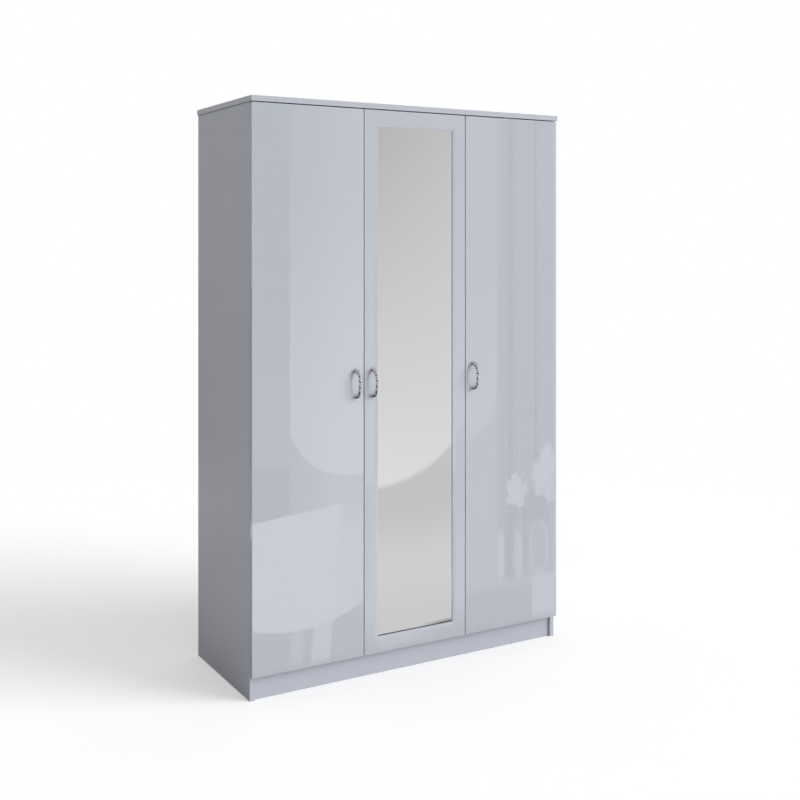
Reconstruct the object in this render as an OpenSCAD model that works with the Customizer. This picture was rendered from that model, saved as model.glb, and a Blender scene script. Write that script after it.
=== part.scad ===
// Three-door wardrobe: a double bay behind the left and mirror doors, a shelf bay behind the right door.
// +X is to the right, +Y to the back, +Z up. The origin is on the floor, under the middle of the outline.

/* [Overall] */
// Height from the floor to the top face
total_h = 1900; // [1700:10:2200]
// Width over the two side panels
body_w = 1194; // [1080:2:1400]
// Depth over the side panels and the back sheet
body_d = 466; // [420:2:600]
// Left edge of the shelf bay, as the distance of its divider from the right side panel, centre to face
shelf_bay_w = 381.5; // [330:0.5:420]

/* [Boards] */
// Thickness of the sides, divider, base and shelves
board_t = 16; // [15:1:19]
// Thickness of the top panel
top_t = 18; // [16:1:25]
// How far the top panel passes each side panel
top_side_over = 3; // [0:1:10]
// How far the top panel passes the faces of the doors
top_front_over = 2; // [0:1:10]
// Thickness of the back sheets
back_t = 3; // [2.5:0.5:5]
// Height of the plinth under the base panel
plinth_h = 70; // [60:1:100]
// How far the plinth board stands behind the side panels' front edges
plinth_setback = 8; // [0:1:30]
// How far the rear plinth rail stands in front of the back sheet
rear_rail_setback = 20; // [0:1:60]

/* [Shelves and rail] */
// How far the shelves' front edges stand behind the side panels' front edges
shelf_setback = 28; // [20:1:60]
// Clear height between the hat shelf and the top panel
hat_space_h = 306; // [250:1:400]
// Gap at each end of a loose shelf
shelf_end_gap = 0.5; // [0.3:0.1:1.5]
// Width of the oval hanging rail
rail_w = 15; // [12:0.5:16]
// Height of the oval hanging rail
rail_h = 30; // [25:0.5:36]
// Wall of the hanging rail
rail_wall = 1.2; // [0.8:0.1:2]
// Drop from the hat shelf to the middle of the rail
rail_drop = 60; // [45:1:100]
// Diameter of the shelf pins
pin_d = 5; // [4:0.5:6]

/* [Doors] */
// Thickness of the doors
door_t = 16; // [16:0.5:19]
// Gap between the doors and the carcass's front edges
door_gap = 2; // [1.5:0.1:3]
// Gap between two doors
door_split = 3; // [2.6:0.1:5]
// Gap between the doors and the top panel
door_top_gap = 3; // [2:0.5:6]
// How far the doors cover the base panel's front edge
door_lap = 9; // [8:0.5:14]
// Width of the mirror door's side members
stile_w = 51; // [47:1:70]
// Width of the mirror door's upper and lower members
rail_member_w = 55; // [47:1:80]
// Depth from the mirror frame's face to the mirror
mirror_recess = 6; // [3:0.5:7]
// Thickness of the mirror
mirror_t = 4; // [3:0.5:5]
// How far the mirror reaches behind the frame
mirror_lap = 8; // [5:0.5:8]
// Gap around the mirror in its rebate
mirror_gap = 0.5; // [0.3:0.1:1.5]
// Width of the sloped band along the frame's inner edge
frame_bevel_w = 12; // [4:1:20]
// Fall of that sloped band
frame_bevel_drop = 1.4; // [0.5:0.1:2.5]

/* [Handles] */
// Distance between the two feet of a handle
handle_cc = 86; // [64:1:128]
// Projection of the handle from the door
handle_reach = 40; // [34:1:46]
// Thickness of the handle's bar
handle_bar_d = 8; // [6:0.5:9]
// Diameter of a handle's foot
handle_foot_d = 11; // [10:0.5:14]
// Height of a handle's foot
handle_foot_h = 7; // [5:0.5:10]
// Distance of the handles from the doors' free edges
handle_inset = 30; // [22:1:34]
// Height of the handles' middle above the floor
handle_z = 976; // [800:1:1200]
// Diameter of the handle screws
handle_screw_d = 4; // [4:0.5:5]

/* [Hinges] */
// Number of hinges on each door
hinge_count = 4; // [3:1:5]
// Distance of the outer hinges from the doors' ends
hinge_inset = 100; // [80:1:140]
// Diameter of the hinge cups
cup_d = 35; // [35:0.5:36]
// Depth of the hinge cups
cup_depth = 11.5; // [11.3:0.1:12.5]
// Wood left between a cup and the door's edge
cup_edge = 4; // [4:0.5:6]
// Distance of the hinge plates' screws from the panel's front edge
plate_line = 37; // [37:0.5:40]
// Spacing of the two screws of a hinge plate
plate_cc = 32; // [32:0.5:36]
// Spacing of the two screws of a hinge cup
cup_screw_cc = 45; // [45:0.5:48]
// Thickness of a hinge plate
plate_t = 3; // [2.5:0.1:4]

/* [Fittings] */
// Diameter of the cam locks
cam_d = 15; // [15:0.5:16]
// Depth of the cam locks
cam_depth = 12.5; // [11:0.1:13]
// Distance from a joint to the middle of its cam lock
cam_reach = 34; // [30:0.5:36]
// Diameter of the dowels
dowel_d = 8; // [6:0.5:8]
// Distance of the outer fittings from the boards' front and rear edges
fitting_inset = 60; // [50:1:90]
// Spacing of the back sheet's nails, at most
nail_pitch = 330; // [200:10:400]
// Diameter of the hole in a wall bracket
wall_hole_d = 5.5; // [4:0.5:7]

/* [Hidden] */
$fn = 32;

// Colours
grey_gloss = "#c2c9d2";
grey_satin = "#b4b8c0";
board_core = "#c9b18a";
back_white = "#e6e4de";
steel = "#c0c2c6";
dark_steel = "#8d9096";

// Clearances
press = 0.05;        // radial gap of a pin or dowel that is held fast
running = 0.05;      // radial gap of a pin that turns
loose = 0.25;        // radial gap of a machine screw in a door
seat = 0.2;          // gap between a board and what is let into it
hole_end = 0.2;      // how far a blind hole runs past what it takes
past = 1;            // how far a cutter passes the face it opens

// Places of the boards. Y is 0 at the side panels' front edges until into_place() moves it.
side_x = body_w / 2;                        // outer face of the side panels
bay_x = side_x - board_t;                   // inner face of the side panels
div_x = bay_x - shelf_bay_w;                // middle of the divider
div_l = div_x - board_t / 2;                // left face of the divider
div_r = div_x + board_t / 2;                // right face of the divider
side_h = total_h - top_t;                   // height of the side panels
base_z = plinth_h + board_t;                // top of the base panel
door_bottom = base_z - door_lap;            // lower edges of the doors
rear_y = body_d - back_t;                   // rear edges of the boards
door_face_y = -door_gap - door_t;           // faces of the doors
front_y = door_face_y - handle_reach;       // foremost point of the handles
nail_head_h = 0.8;
shift_y = -(front_y + body_d + nail_head_h) / 2;   // sets the origin under the middle of the outline

door_end = side_h - door_top_gap;           // upper edges of the doors
door_h = door_end - door_bottom;
free_x = div_x;                             // middle of the gap between the mirror and right doors
left_gap_x = -free_x;                       // middle of the gap between the left and mirror doors
mirror_l = left_gap_x + door_split / 2;
mirror_r = free_x - door_split / 2;
hat_z = side_h - hat_space_h - board_t;     // underside of the hat shelf
rail_z = hat_z - rail_drop;
rail_y = (shelf_setback + rear_y) / 2;
shelf_count = 4;                            // one node each
shelf_pitch = (side_h - base_z + board_t) / (shelf_count + 1);
function shelf_z(i) = base_z + i * shelf_pitch - board_t;

// Hinge pivots, from the cup's middle across the door and from the door's rear face forwards
cup_u = cup_edge + cup_d / 2;
function at_cup(p) = [cup_u + p.x, door_gap + p.y];
pivot_a = at_cup([11.5, -15.9]);            // outer link in the arm
pivot_b = at_cup([6.1, 1.8]);               // inner link in the arm
pivot_c = at_cup([-12.8, 1.9]);             // outer link in the cup
pivot_d = at_cup([-10.2, 5.1]);             // inner link in the cup
jaw_mid = at_cup([-9.75, 5.05]);            // middle of the inner link's open jaw
arm_heel = at_cup([2.5, -14]);              // corner of the arm's cheek
outer_route = [pivot_c, at_cup([-8.9, 2.5]), at_cup([-6.3, 5.2]), at_cup([-3, 6.6]), at_cup([5.5, 6.6]),
               at_cup([11.5, 3]), pivot_a];
inner_route = [pivot_b, at_cup([5, 4.6]), at_cup([0.5, 7.6]), at_cup([-7.5, 7.9])];
hinge_pin_r = 1.2;
link_half = 1.15;                           // half of a link's width in plan
jaw_r = 2.35;                               // the open pivot's clearance
jaw_wall = 0.7;
inner_half = 3;                             // half of the inner link's height
outer_in = 3.3;                             // the outer link's two plates, from the hinge's middle
outer_out = 4.8;
cheek_in = 5.1;                             // the arm's two cheeks, from the hinge's middle
cheek_out = 6.3;
arm_past_plate = 21;                        // the arm's rear end, behind the plate's screws
arm_tail = plate_line + arm_past_plate;
arm_pad_front = 17;                         // front end of the plate's pad, before its screws
arm_pad_half = cheek_out + 1;
arm_web_t = 1.2;
arm_web_start = 8;                          // the web's front end, behind pivot A
nose_r = 2.5;                               // round ends of the arm's cheeks
cheek_half = 2;                             // half width of the cheeks' straight parts
link_eye_r = 2.5;
cup_eye_r = 2.2;
inner_eye_r = 2.3;
bridge = [5, 14];                           // the outer link's bridge, in front of pivot A
jaw_way = 295;                              // the jaw is open towards the outer link's pivot
jaw_lip = 0.2;
pin_end = 0.4;
cup_wall = 0.8;
flange_t = 1;
flange_w = 3;
ear_r = 5.5;
ear_u = 9.5;                                // cup screws, from the cup's middle
cup_screw_r = 1.75;
cup_screw_in = 11;
screw_head_r = 3.4;
screw_head_h = 1.5;
plate_half_h = 25;
plate_half_w = 9;
plate_screw_r = 2.5;
plate_screw_in = 11;
plate_head_r = 4;

function hinge_z(i) = door_bottom + hinge_inset + i * (door_h - 2 * hinge_inset) / (hinge_count - 1);

// Each door's hinge edge, the inner face of the panel that carries it, and the way its door reaches
LEFT = [-side_x, board_t, 1];
MIRROR = [mirror_r, mirror_r - div_l, -1];
RIGHT = [side_x, board_t, -1];
DOORS = [LEFT, MIRROR, RIGHT];

dowel_step = 32;                            // dowels, from the cam bolts
// Corner joints: cam board, board that takes the bolt, place, turn of the bolt's way
fitting_y = [fitting_inset, rear_y - fitting_inset];
dowel_y = [fitting_inset + dowel_step, rear_y - fitting_inset - dowel_step];
base_mid_z = plinth_h + board_t / 2;
hat_mid_z = hat_z + board_t / 2;
JOINTS = [
    ["base", "left", [-bay_x, 0, base_mid_z], [180, 0, 0]],
    ["base", "right", [bay_x, 0, base_mid_z], [0, 180, 0]],
    ["left", "top", [-bay_x - board_t / 2, 0, side_h], [0, 90, 0]],
    ["right", "top", [bay_x + board_t / 2, 0, side_h], [180, 90, 0]],
    ["divider", "top", [div_x, 0, side_h], [0, 90, 0]],
    ["divider", "base", [div_x, 0, base_z], [0, -90, 0]],
    ["hat", "left", [-bay_x, 0, hat_mid_z], [180, 0, 0]],
    ["hat", "divider", [div_l, 0, hat_mid_z], [0, 180, 0]]
];
bolt_in = 10;                               // bolt's length in the board that takes it
bolt_r = 3;
bolt_head_gap = 0.6;
dowel_in = 10;
dowel_out = 20;
cam_slot_w = 1.4;
cam_slot_depth = 1.5;
plinth_front_y = plinth_setback + board_t / 2;
plinth_rear_y = rear_y - rear_rail_setback - board_t / 2;
plinth_dowel_z = [plinth_h * 0.25, plinth_h * 0.75];

back_inset = 2;                             // the back sheets, inside the side panels' outer faces
nail_r = 0.8;
nail_len = 18;
nail_head_r = 1.8;
bracket_w = 40;
bracket_leg = 25;
bracket_t = 2;
bracket_screw_r = 2;
bracket_screw_in = 12;
bracket_inset = 90;
bracket_x = [-bay_x + bracket_inset, bay_x - bracket_inset];
wall_screw_gap = 2;                         // radial gap of a wall screw in the back sheets

socket_len = 10;
socket_wall = 2.6;
socket_flange_t = 2.5;
socket_flange_h = 62;
socket_screw_z = 24;
rail_screw_in = 9.5;
pin_in = 8;
pin_out = 8;
pin_edge = 40;                              // shelf pins, from a shelf's front and rear edges
pin_y = [shelf_setback + pin_edge, rear_y - pin_edge];

// ---- shared shapes ----

module into_place() { translate([0, shift_y, 0]) children(); }

// A box between two corners
module box(a, b) { translate(a) cube(b - a); }

// A round bar along X, Y or Z from a point
module bar_x(p, r, l) { translate(p) rotate([0, 90, 0]) cylinder(r = r, h = l); }
module bar_y(p, r, l) { translate(p) rotate([-90, 0, 0]) cylinder(r = r, h = l); }
module bar_z(p, r, l) { translate(p) cylinder(r = r, h = l); }

// A flat strip with straight sides and mitred corners along a list of points
function unit(v) = v / norm(v);
function side_of(v) = [-v.y, v.x];
function mitre(pts, i, w) =
    i == 0 ? pts[0] + w * side_of(unit(pts[1] - pts[0])) :
    i == len(pts) - 1 ? pts[i] + w * side_of(unit(pts[i] - pts[i - 1])) :
    let (m = unit(side_of(unit(pts[i] - pts[i - 1])) + side_of(unit(pts[i + 1] - pts[i]))),
         c = m * side_of(unit(pts[i] - pts[i - 1])))
    pts[i] + w / c * m;
module strip(pts, w) {
    n = len(pts) - 1;
    polygon(concat([for (i = [0 : n]) mitre(pts, i, w)], [for (i = [n : -1 : 0]) mitre(pts, i, -w)]));
}

// Puts children at every hinge of a door: X across the door from its hinge edge, Y forwards
module at_hinges(door) {
    for (i = [0 : hinge_count - 1])
        translate([door[0], 0, hinge_z(i)])
            rotate([0, 0, door[2] > 0 ? 0 : 180])
                scale_to_front(door) children();
}
module scale_to_front(door) {
    if (door[2] > 0) mirror([0, 1, 0]) children();
    else children();
}

// Puts children at both fittings of a joint: X is the bolt's way into the cam board
module at_joint(j, ys) {
    for (y = ys) translate([j[2].x, y, j[2].z]) rotate(j[3]) children();
}

// ---- cutters ----

module cam_board_cuts(name) {
    for (j = JOINTS) if (j[0] == name) {
        at_joint(j, fitting_y) {
            translate([cam_reach, 0, board_t / 2 - cam_depth])
                cylinder(d = cam_d + 2 * press, h = cam_depth + past);
            bar_x([-past, 0, 0], bolt_r + press, cam_reach + past);
        }
        at_joint(j, dowel_y) bar_x([-past, 0, 0], dowel_d / 2 + press, dowel_out + past + hole_end);
    }
}
module bolt_board_cuts(name) {
    for (j = JOINTS) if (j[1] == name) {
        at_joint(j, fitting_y) bar_x([-bolt_in - hole_end, 0, 0], bolt_r + press, bolt_in + past);
        at_joint(j, dowel_y) bar_x([-dowel_in - hole_end, 0, 0], dowel_d / 2 + press, dowel_in + past);
    }
}

module plinth_dowels(grow, extra) {
    for (s = [-1, 1], y = [plinth_front_y, plinth_rear_y], z = plinth_dowel_z)
        translate([s * bay_x, y, z]) rotate([0, s > 0 ? 180 : 0, 0])
            bar_x([-dowel_in - extra, 0, 0], dowel_d / 2 + grow, dowel_in + dowel_out + 2 * extra);
}

// Holes for the nails that hold the back sheets
function steps(a, b) = let (n = ceil((b - a) / nail_pitch)) [for (i = [0 : n]) a + (b - a) * i / n];
nail_end = 30;
nail_z = steps(base_z + nail_end, side_h - nail_end);
function across(a, b) = steps(a + nail_end, b - nail_end);
NAILS = concat(
    [for (x = [-bay_x - board_t / 2, bay_x + board_t / 2], z = nail_z) [x, z]],
    [for (s = [-1, 1], z = nail_z) [div_x + s * board_t / 4, z]],
    [for (x = concat(across(-bay_x, div_l), across(div_r, bay_x))) [x, base_mid_z]]);
module nail_holes()
    for (p = NAILS) bar_y([p.x, body_d - nail_len - hole_end, p.y], nail_r + press, nail_len + 2 * past);

// Holes for one row of hinge plates on the face of a panel
module plate_holes(door) {
    at_hinges(door)
        for (z = [-1, 1])
            translate([door[1], -plate_line, z * plate_cc / 2]) rotate([0, -90, 0])
                translate([0, 0, -past])
                    cylinder(r = plate_screw_r + press, h = plate_screw_in + hole_end + past);
}

// Holes for shelf pins in the faces of the shelf bay
module shelf_pin_bores() {
    for (i = [1 : shelf_count], y = pin_y) {
        bar_x([div_r - pin_in - hole_end, y, pin_z(i)], pin_d / 2 + press, pin_in + past);
        bar_x([bay_x - past, y, pin_z(i)], pin_d / 2 + press, pin_in + past + hole_end);
    }
}
function pin_z(i) = shelf_z(i) - pin_d / 2 - press;

// Screw holes of the hanging rail's sockets
module socket_screw_bores()
    at_sockets() for (s = [-1, 1]) translate([0, s * socket_screw_z, -rail_screw_in - hole_end])
        cylinder(r = cup_screw_r + press, h = rail_screw_in + hole_end + past);

// ---- carcass ----

module top_panel() color(grey_satin) into_place() difference() {
    box([-side_x - top_side_over, door_face_y - top_front_over, side_h],
        [side_x + top_side_over, body_d, total_h]);
    bolt_board_cuts("top");
    bracket_screw_bores();
}

module left_side_panel() color(grey_satin) into_place() difference() {
    box([-side_x, 0, 0], [-bay_x, rear_y, side_h]);
    cam_board_cuts("left");
    bolt_board_cuts("left");
    plinth_dowels(press, hole_end);
    nail_holes();
    plate_holes(LEFT);
    socket_screw_bores();
}

module right_side_panel() color(grey_satin) into_place() difference() {
    box([bay_x, 0, 0], [side_x, rear_y, side_h]);
    cam_board_cuts("right");
    bolt_board_cuts("right");
    plinth_dowels(press, hole_end);
    nail_holes();
    plate_holes(RIGHT);
    shelf_pin_bores();
}

module divider_panel() color(grey_satin) into_place() difference() {
    box([div_l, 0, base_z], [div_r, rear_y, side_h]);
    cam_board_cuts("divider");
    bolt_board_cuts("divider");
    nail_holes();
    plate_holes(MIRROR);
    shelf_pin_bores();
    socket_screw_bores();
}

module base_panel() color(grey_satin) into_place() difference() {
    box([-bay_x, 0, plinth_h], [bay_x, rear_y, base_z]);
    cam_board_cuts("base");
    bolt_board_cuts("base");
    nail_holes();
}

module plinth_board() color(grey_satin) into_place() difference() {
    box([-bay_x, plinth_setback, 0], [bay_x, plinth_setback + board_t, plinth_h]);
    plinth_dowels(press, hole_end);
}

module rear_plinth_rail() color(grey_satin) into_place() difference() {
    box([-bay_x, plinth_rear_y - board_t / 2, 0], [bay_x, plinth_rear_y + board_t / 2, plinth_h]);
    plinth_dowels(press, hole_end);
}

module plinth_brace(x) color(grey_satin) into_place()
    box([x - board_t / 2, plinth_setback + board_t, 0],
        [x + board_t / 2, plinth_rear_y - board_t / 2, plinth_h]);
module wide_plinth_brace() plinth_brace((div_l - bay_x) / 2);
module narrow_plinth_brace() plinth_brace(div_x);

module back_sheet(x0, x1) color(back_white) into_place() difference() {
    box([x0, rear_y, plinth_h], [x1, body_d, side_h]);
    nail_holes();
    for (x = bracket_x)
        bar_y([x, rear_y - past, bracket_hole_z], wall_hole_d / 2 + wall_screw_gap, back_t + 2 * past);
}
module wide_back_sheet() back_sheet(-side_x + back_inset, div_x - loose);
module narrow_back_sheet() back_sheet(div_x + loose, side_x - back_inset);

module hat_shelf() color(grey_satin) into_place() difference() {
    box([-bay_x, shelf_setback, hat_z], [div_l, rear_y, hat_z + board_t]);
    cam_board_cuts("hat");
}

module linen_shelf(i) color(grey_satin) into_place()
    box([div_r + shelf_end_gap, shelf_setback, shelf_z(i)],
        [bay_x - shelf_end_gap, rear_y - seat, shelf_z(i) + board_t]);
module linen_shelf_1() linen_shelf(1);
module linen_shelf_2() linen_shelf(2);
module linen_shelf_3() linen_shelf(3);
module linen_shelf_4() linen_shelf(4);

// ---- hanging rail ----

module oval(w, h) {
    square([w, h - w], center = true);
    for (s = [-1, 1]) translate([0, s * (h - w) / 2]) circle(d = w);
}
module oval_bar(x0, x1, w, h)
    translate([x0, rail_y, rail_z]) rotate([0, 90, 0]) rotate([0, 0, 90]) linear_extrude(x1 - x0) oval(w, h);

module hanging_rail() color(steel) into_place() difference() {
    oval_bar(-bay_x + socket_flange_t + seat, div_l - socket_flange_t - seat, rail_w, rail_h);
    oval_bar(-bay_x, div_l, rail_w - 2 * rail_wall, rail_h - 2 * rail_wall);
}

module rail_socket() difference() {
    union() {
        linear_extrude(socket_flange_t) oval(rail_w + 2 * socket_wall, socket_flange_h);
        linear_extrude(socket_flange_t + socket_len) oval(rail_w + 2 * socket_wall, rail_h + 2 * socket_wall);
    }
    translate([0, 0, socket_flange_t])
        linear_extrude(socket_len + past) oval(rail_w + 2 * seat, rail_h + 2 * seat);
    for (s = [-1, 1]) translate([0, s * socket_screw_z, -past])
        cylinder(r = cup_screw_r + press, h = socket_flange_t + 2 * past);
}
module at_sockets() {
    translate([-bay_x, rail_y, rail_z]) rotate([0, 90, 0]) rotate([0, 0, 90]) children();
    translate([div_l, rail_y, rail_z]) rotate([0, -90, 0]) rotate([0, 0, 90]) children();
}
module rail_sockets() color(steel) into_place() at_sockets() rail_socket();

// A wood screw along +Z from its tip, with a round head standing on the height of its seat
module wood_screw(r, length, head_r, head_h) {
    cylinder(r = r, h = length);
    translate([0, 0, length]) cylinder(r = head_r, h = head_h);
}
module rail_screws() color(dark_steel) into_place() at_sockets()
    for (s = [-1, 1]) translate([0, s * socket_screw_z, -rail_screw_in])
        wood_screw(cup_screw_r, rail_screw_in + socket_flange_t, screw_head_r, screw_head_h);

module shelf_pins() color(steel) into_place()
    for (i = [1 : shelf_count], y = pin_y) {
        bar_x([div_r - pin_in, y, pin_z(i)], pin_d / 2, pin_in + pin_out);
        bar_x([bay_x - pin_out, y, pin_z(i)], pin_d / 2, pin_in + pin_out);
    }

// ---- corner fittings ----

module cam_locks() color(dark_steel) into_place()
    for (j = JOINTS) at_joint(j, fitting_y) difference() {
        translate([cam_reach, 0, board_t / 2 - cam_depth]) cylinder(d = cam_d, h = cam_depth);
        // the mouth that takes the bolt's head, and the cross slot for a screwdriver
        bar_x([cam_reach - cam_d, 0, 0], bolt_r + bolt_head_gap, cam_d);
        for (a = [0, 90]) translate([cam_reach, 0, board_t / 2]) rotate([0, 0, a])
            cube([cam_d * 0.5, cam_slot_w, 2 * cam_slot_depth], center = true);
    }

module cam_bolts() color(steel) into_place()
    for (j = JOINTS) at_joint(j, fitting_y)
        bar_x([-bolt_in, 0, 0], bolt_r, bolt_in + cam_reach - bolt_head_gap);

module dowels() color(board_core) into_place() {
    for (j = JOINTS) at_joint(j, dowel_y) bar_x([-dowel_in, 0, 0], dowel_d / 2, dowel_in + dowel_out);
    plinth_dowels(0, 0);
}

module back_nails() color(steel) into_place()
    for (p = NAILS) {
        bar_y([p.x, body_d - nail_len, p.y], nail_r, nail_len);
        bar_y([p.x, body_d, p.y], nail_head_r, nail_head_h);
    }

// ---- wall brackets ----

bracket_hole_z = side_h - bracket_t - (bracket_leg - bracket_t) / 2;
bracket_screw_y = rear_y - bracket_t - (bracket_leg - bracket_t) / 2;
module bracket_screw_bores()
    for (x = bracket_x, s = [-1, 1])
        bar_z([x + s * bracket_w / 4, bracket_screw_y, side_h - past],
              bracket_screw_r + press, bracket_screw_in + hole_end + past);
module wall_brackets() color(steel) into_place()
    for (x = bracket_x) difference() {
        union() {
            box([x - bracket_w / 2, rear_y - bracket_leg, side_h - bracket_t],
                [x + bracket_w / 2, rear_y, side_h]);
            box([x - bracket_w / 2, rear_y - bracket_t, side_h - bracket_leg],
                [x + bracket_w / 2, rear_y, side_h]);
        }
        bar_y([x, rear_y - bracket_t - past, bracket_hole_z], wall_hole_d / 2, bracket_t + 2 * past);
        for (s = [-1, 1])
            bar_z([x + s * bracket_w / 4, bracket_screw_y, side_h - bracket_t - past],
                  bracket_screw_r + press, bracket_t + 2 * past);
    }
module bracket_screws() color(dark_steel) into_place()
    for (x = bracket_x, s = [-1, 1])
        translate([x + s * bracket_w / 4, bracket_screw_y, side_h + bracket_screw_in]) mirror([0, 0, 1])
            wood_screw(bracket_screw_r, bracket_screw_in + bracket_t, screw_head_r, screw_head_h);

// ---- buffers for the doors' free corners, on the base panel's front edge ----

buffer_r = (door_lap - 1) / 2;
buffer_gap = 0.3;                           // left between a buffer and its shut door
buffer_inset = 25;                          // from the door's free edge
module door_buffers() color(back_white) into_place()
    for (x = [left_free_x - buffer_inset, mirror_l + buffer_inset, right_free_x + buffer_inset])
        translate([x, 0, base_z - door_lap / 2]) rotate([90, 0, 0]) {
            cylinder(r = buffer_r, h = (door_gap - buffer_gap) / 2);
            cylinder(r = buffer_r * 0.8, h = door_gap - buffer_gap);
        }

// ---- hinges ----

module hinge_plates() color(steel) into_place()
    for (door = DOORS) at_hinges(door) difference() {
        union() {
            box([door[1], -plate_line - plate_half_w, -plate_half_h],
                [door[1] + plate_t, -plate_line + plate_half_w, plate_half_h]);
            box([door[1], -arm_tail, -arm_pad_half],
                [door[1] + plate_t, -plate_line + arm_pad_front, arm_pad_half]);
        }
        for (z = [-1, 1]) translate([door[1] - past, -plate_line, z * plate_cc / 2]) rotate([0, 90, 0])
            cylinder(r = plate_screw_r + press, h = plate_t + 2 * past);
    }

module hinge_plate_screws() color(dark_steel) into_place()
    for (door = DOORS) at_hinges(door)
        for (z = [-1, 1]) translate([door[1] - plate_screw_in, -plate_line, z * plate_cc / 2])
            rotate([0, 90, 0])
                wood_screw(plate_screw_r, plate_screw_in + plate_t, plate_head_r, screw_head_h);

// A cheek: a tail along the plate, and a nose that carries the two pivots
module cheek(door) {
    polygon([pivot_a, arm_heel, pivot_b]);
    strip([arm_heel, pivot_b], cheek_half);
    strip([pivot_a, pivot_b], cheek_half);
    for (p = [pivot_a, pivot_b, arm_heel]) translate(p) circle(r = nose_r);
    translate([door[1] + plate_t, -arm_tail])
        square([pivot_a.x - door[1] - plate_t, arm_tail + pivot_a.y]);
}
// The two cheeks are cut from one block, so that the web joins them behind the pivots
module hinge_arms(door) color(steel) into_place() at_hinges(door) difference() {
    translate([0, 0, -cheek_out]) linear_extrude(2 * cheek_out) difference() {
        cheek(door);
        for (p = [pivot_a, pivot_b]) translate(p) circle(r = hinge_pin_r + press);
    }
    box([-past, -arm_tail - past, -cheek_in], [pivot_a.x - arm_web_t, pivot_b.y + 2 * nose_r, cheek_in]);
    box([-past, pivot_a.y - arm_web_start, -cheek_in],
        [pivot_a.x + 2 * nose_r, pivot_b.y + 2 * nose_r, cheek_in]);
}
module left_hinge_arms() hinge_arms(LEFT);
module mirror_hinge_arms() hinge_arms(MIRROR);
module right_hinge_arms() hinge_arms(RIGHT);

module hinge_arm_pins() color(dark_steel) into_place()
    for (door = DOORS) at_hinges(door) for (p = [pivot_a, pivot_b])
        bar_z([p.x, p.y, -cheek_out - pin_end], hinge_pin_r, 2 * (cheek_out + pin_end));

module outer_plate() difference() {
    union() {
        strip(outer_route, link_half);
        translate(pivot_c) circle(r = cup_eye_r);
        translate(pivot_a) circle(r = link_eye_r);
    }
    for (p = [pivot_a, pivot_c]) translate(p) circle(r = hinge_pin_r + running);
}
module outer_links(door) color(steel) into_place() at_hinges(door) {
    for (s = [0, 1]) mirror([0, 0, s]) translate([0, 0, outer_in])
        linear_extrude(outer_out - outer_in) outer_plate();
    // the bridge joins the two plates on the straight stretch
    box([pivot_a.x - link_half, pivot_a.y + bridge[0], -outer_out],
        [pivot_a.x + link_half, pivot_a.y + bridge[1], outer_out]);
}
module left_outer_links() outer_links(LEFT);
module mirror_outer_links() outer_links(MIRROR);
module right_outer_links() outer_links(RIGHT);

module inner_links(door) color(dark_steel) into_place() at_hinges(door)
    translate([0, 0, -inner_half]) linear_extrude(2 * inner_half) difference() {
        union() {
            strip(inner_route, link_half);
            translate(pivot_b) circle(r = inner_eye_r);
            translate(jaw_mid) circle(r = jaw_r + jaw_wall);
        }
        translate(pivot_b) circle(r = hinge_pin_r + running);
        translate(jaw_mid) circle(r = jaw_r);
        translate(jaw_mid) rotate([0, 0, jaw_way]) translate([jaw_lip, -2 * jaw_r])
            square([2 * jaw_r, 4 * jaw_r]);
    }
module left_inner_links() inner_links(LEFT);
module mirror_inner_links() inner_links(MIRROR);
module right_inner_links() inner_links(RIGHT);

// Along Y here is the door's own depth, so a cup's axis is laid along it
module cup_axis(y) { translate([cup_u, y, 0]) rotate([-90, 0, 0]) children(); }
module at_cup_screws(y)
    for (s = [-1, 1]) translate([cup_u + ear_u, y, s * cup_screw_cc / 2]) rotate([-90, 0, 0]) children();

module hinge_cups(door) color(steel) into_place() at_hinges(door) difference() {
    union() {
        cup_axis(door_gap) cylinder(d = cup_d, h = cup_depth);
        cup_axis(door_gap - flange_t) cylinder(r = cup_d / 2 + flange_w, h = flange_t);
        at_cup_screws(door_gap - flange_t) cylinder(r = ear_r, h = flange_t);
        box([cup_u + ear_u - ear_r, door_gap - flange_t, -cup_screw_cc / 2],
            [cup_u + ear_u + ear_r, door_gap, cup_screw_cc / 2]);
    }
    cup_axis(door_gap - flange_t - past)
        cylinder(r = cup_d / 2 - cup_wall, h = flange_t + past + cup_depth - cup_wall);
    at_cup_screws(door_gap - flange_t - past) cylinder(r = cup_screw_r + press, h = flange_t + 2 * past);
}
module left_hinge_cups() hinge_cups(LEFT);
module mirror_hinge_cups() hinge_cups(MIRROR);
module right_hinge_cups() hinge_cups(RIGHT);

// A cup's pins reach just short of its round wall
function pin_half(p) = sqrt(pow(cup_d / 2 - cup_wall, 2) - pow(p.x - hinge_pin_r - cup_u, 2)) - running;
module cup_pins(door) color(dark_steel) into_place() at_hinges(door)
    for (p = [pivot_c, pivot_d]) bar_z([p.x, p.y, -pin_half(p)], hinge_pin_r, 2 * pin_half(p));
module left_cup_pins() cup_pins(LEFT);
module mirror_cup_pins() cup_pins(MIRROR);
module right_cup_pins() cup_pins(RIGHT);

// ---- doors ----

module cup_bores(door) at_hinges(door) {
    cup_axis(door_gap - past) cylinder(d = cup_d + 2 * press, h = cup_depth + past + running);
    at_cup_screws(door_gap - past) cylinder(r = cup_screw_r + press, h = cup_screw_in + hole_end + past);
}
module at_handle_screws(x)
    for (s = [-1, 1]) translate([x, -door_gap, handle_z + s * handle_cc / 2]) rotate([90, 0, 0]) children();
module handle_bores(x)
    at_handle_screws(x) translate([0, 0, -past])
        cylinder(r = handle_screw_d / 2 + loose, h = door_t + 2 * past);

module door_slab(x0, x1) box([x0, door_face_y, door_bottom], [x1, -door_gap, door_end]);

left_free_x = left_gap_x - door_split / 2;
right_free_x = free_x + door_split / 2;
left_handle_x = left_free_x - handle_inset;
mirror_handle_x = mirror_l + handle_inset;
right_handle_x = right_free_x + handle_inset;

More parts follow.
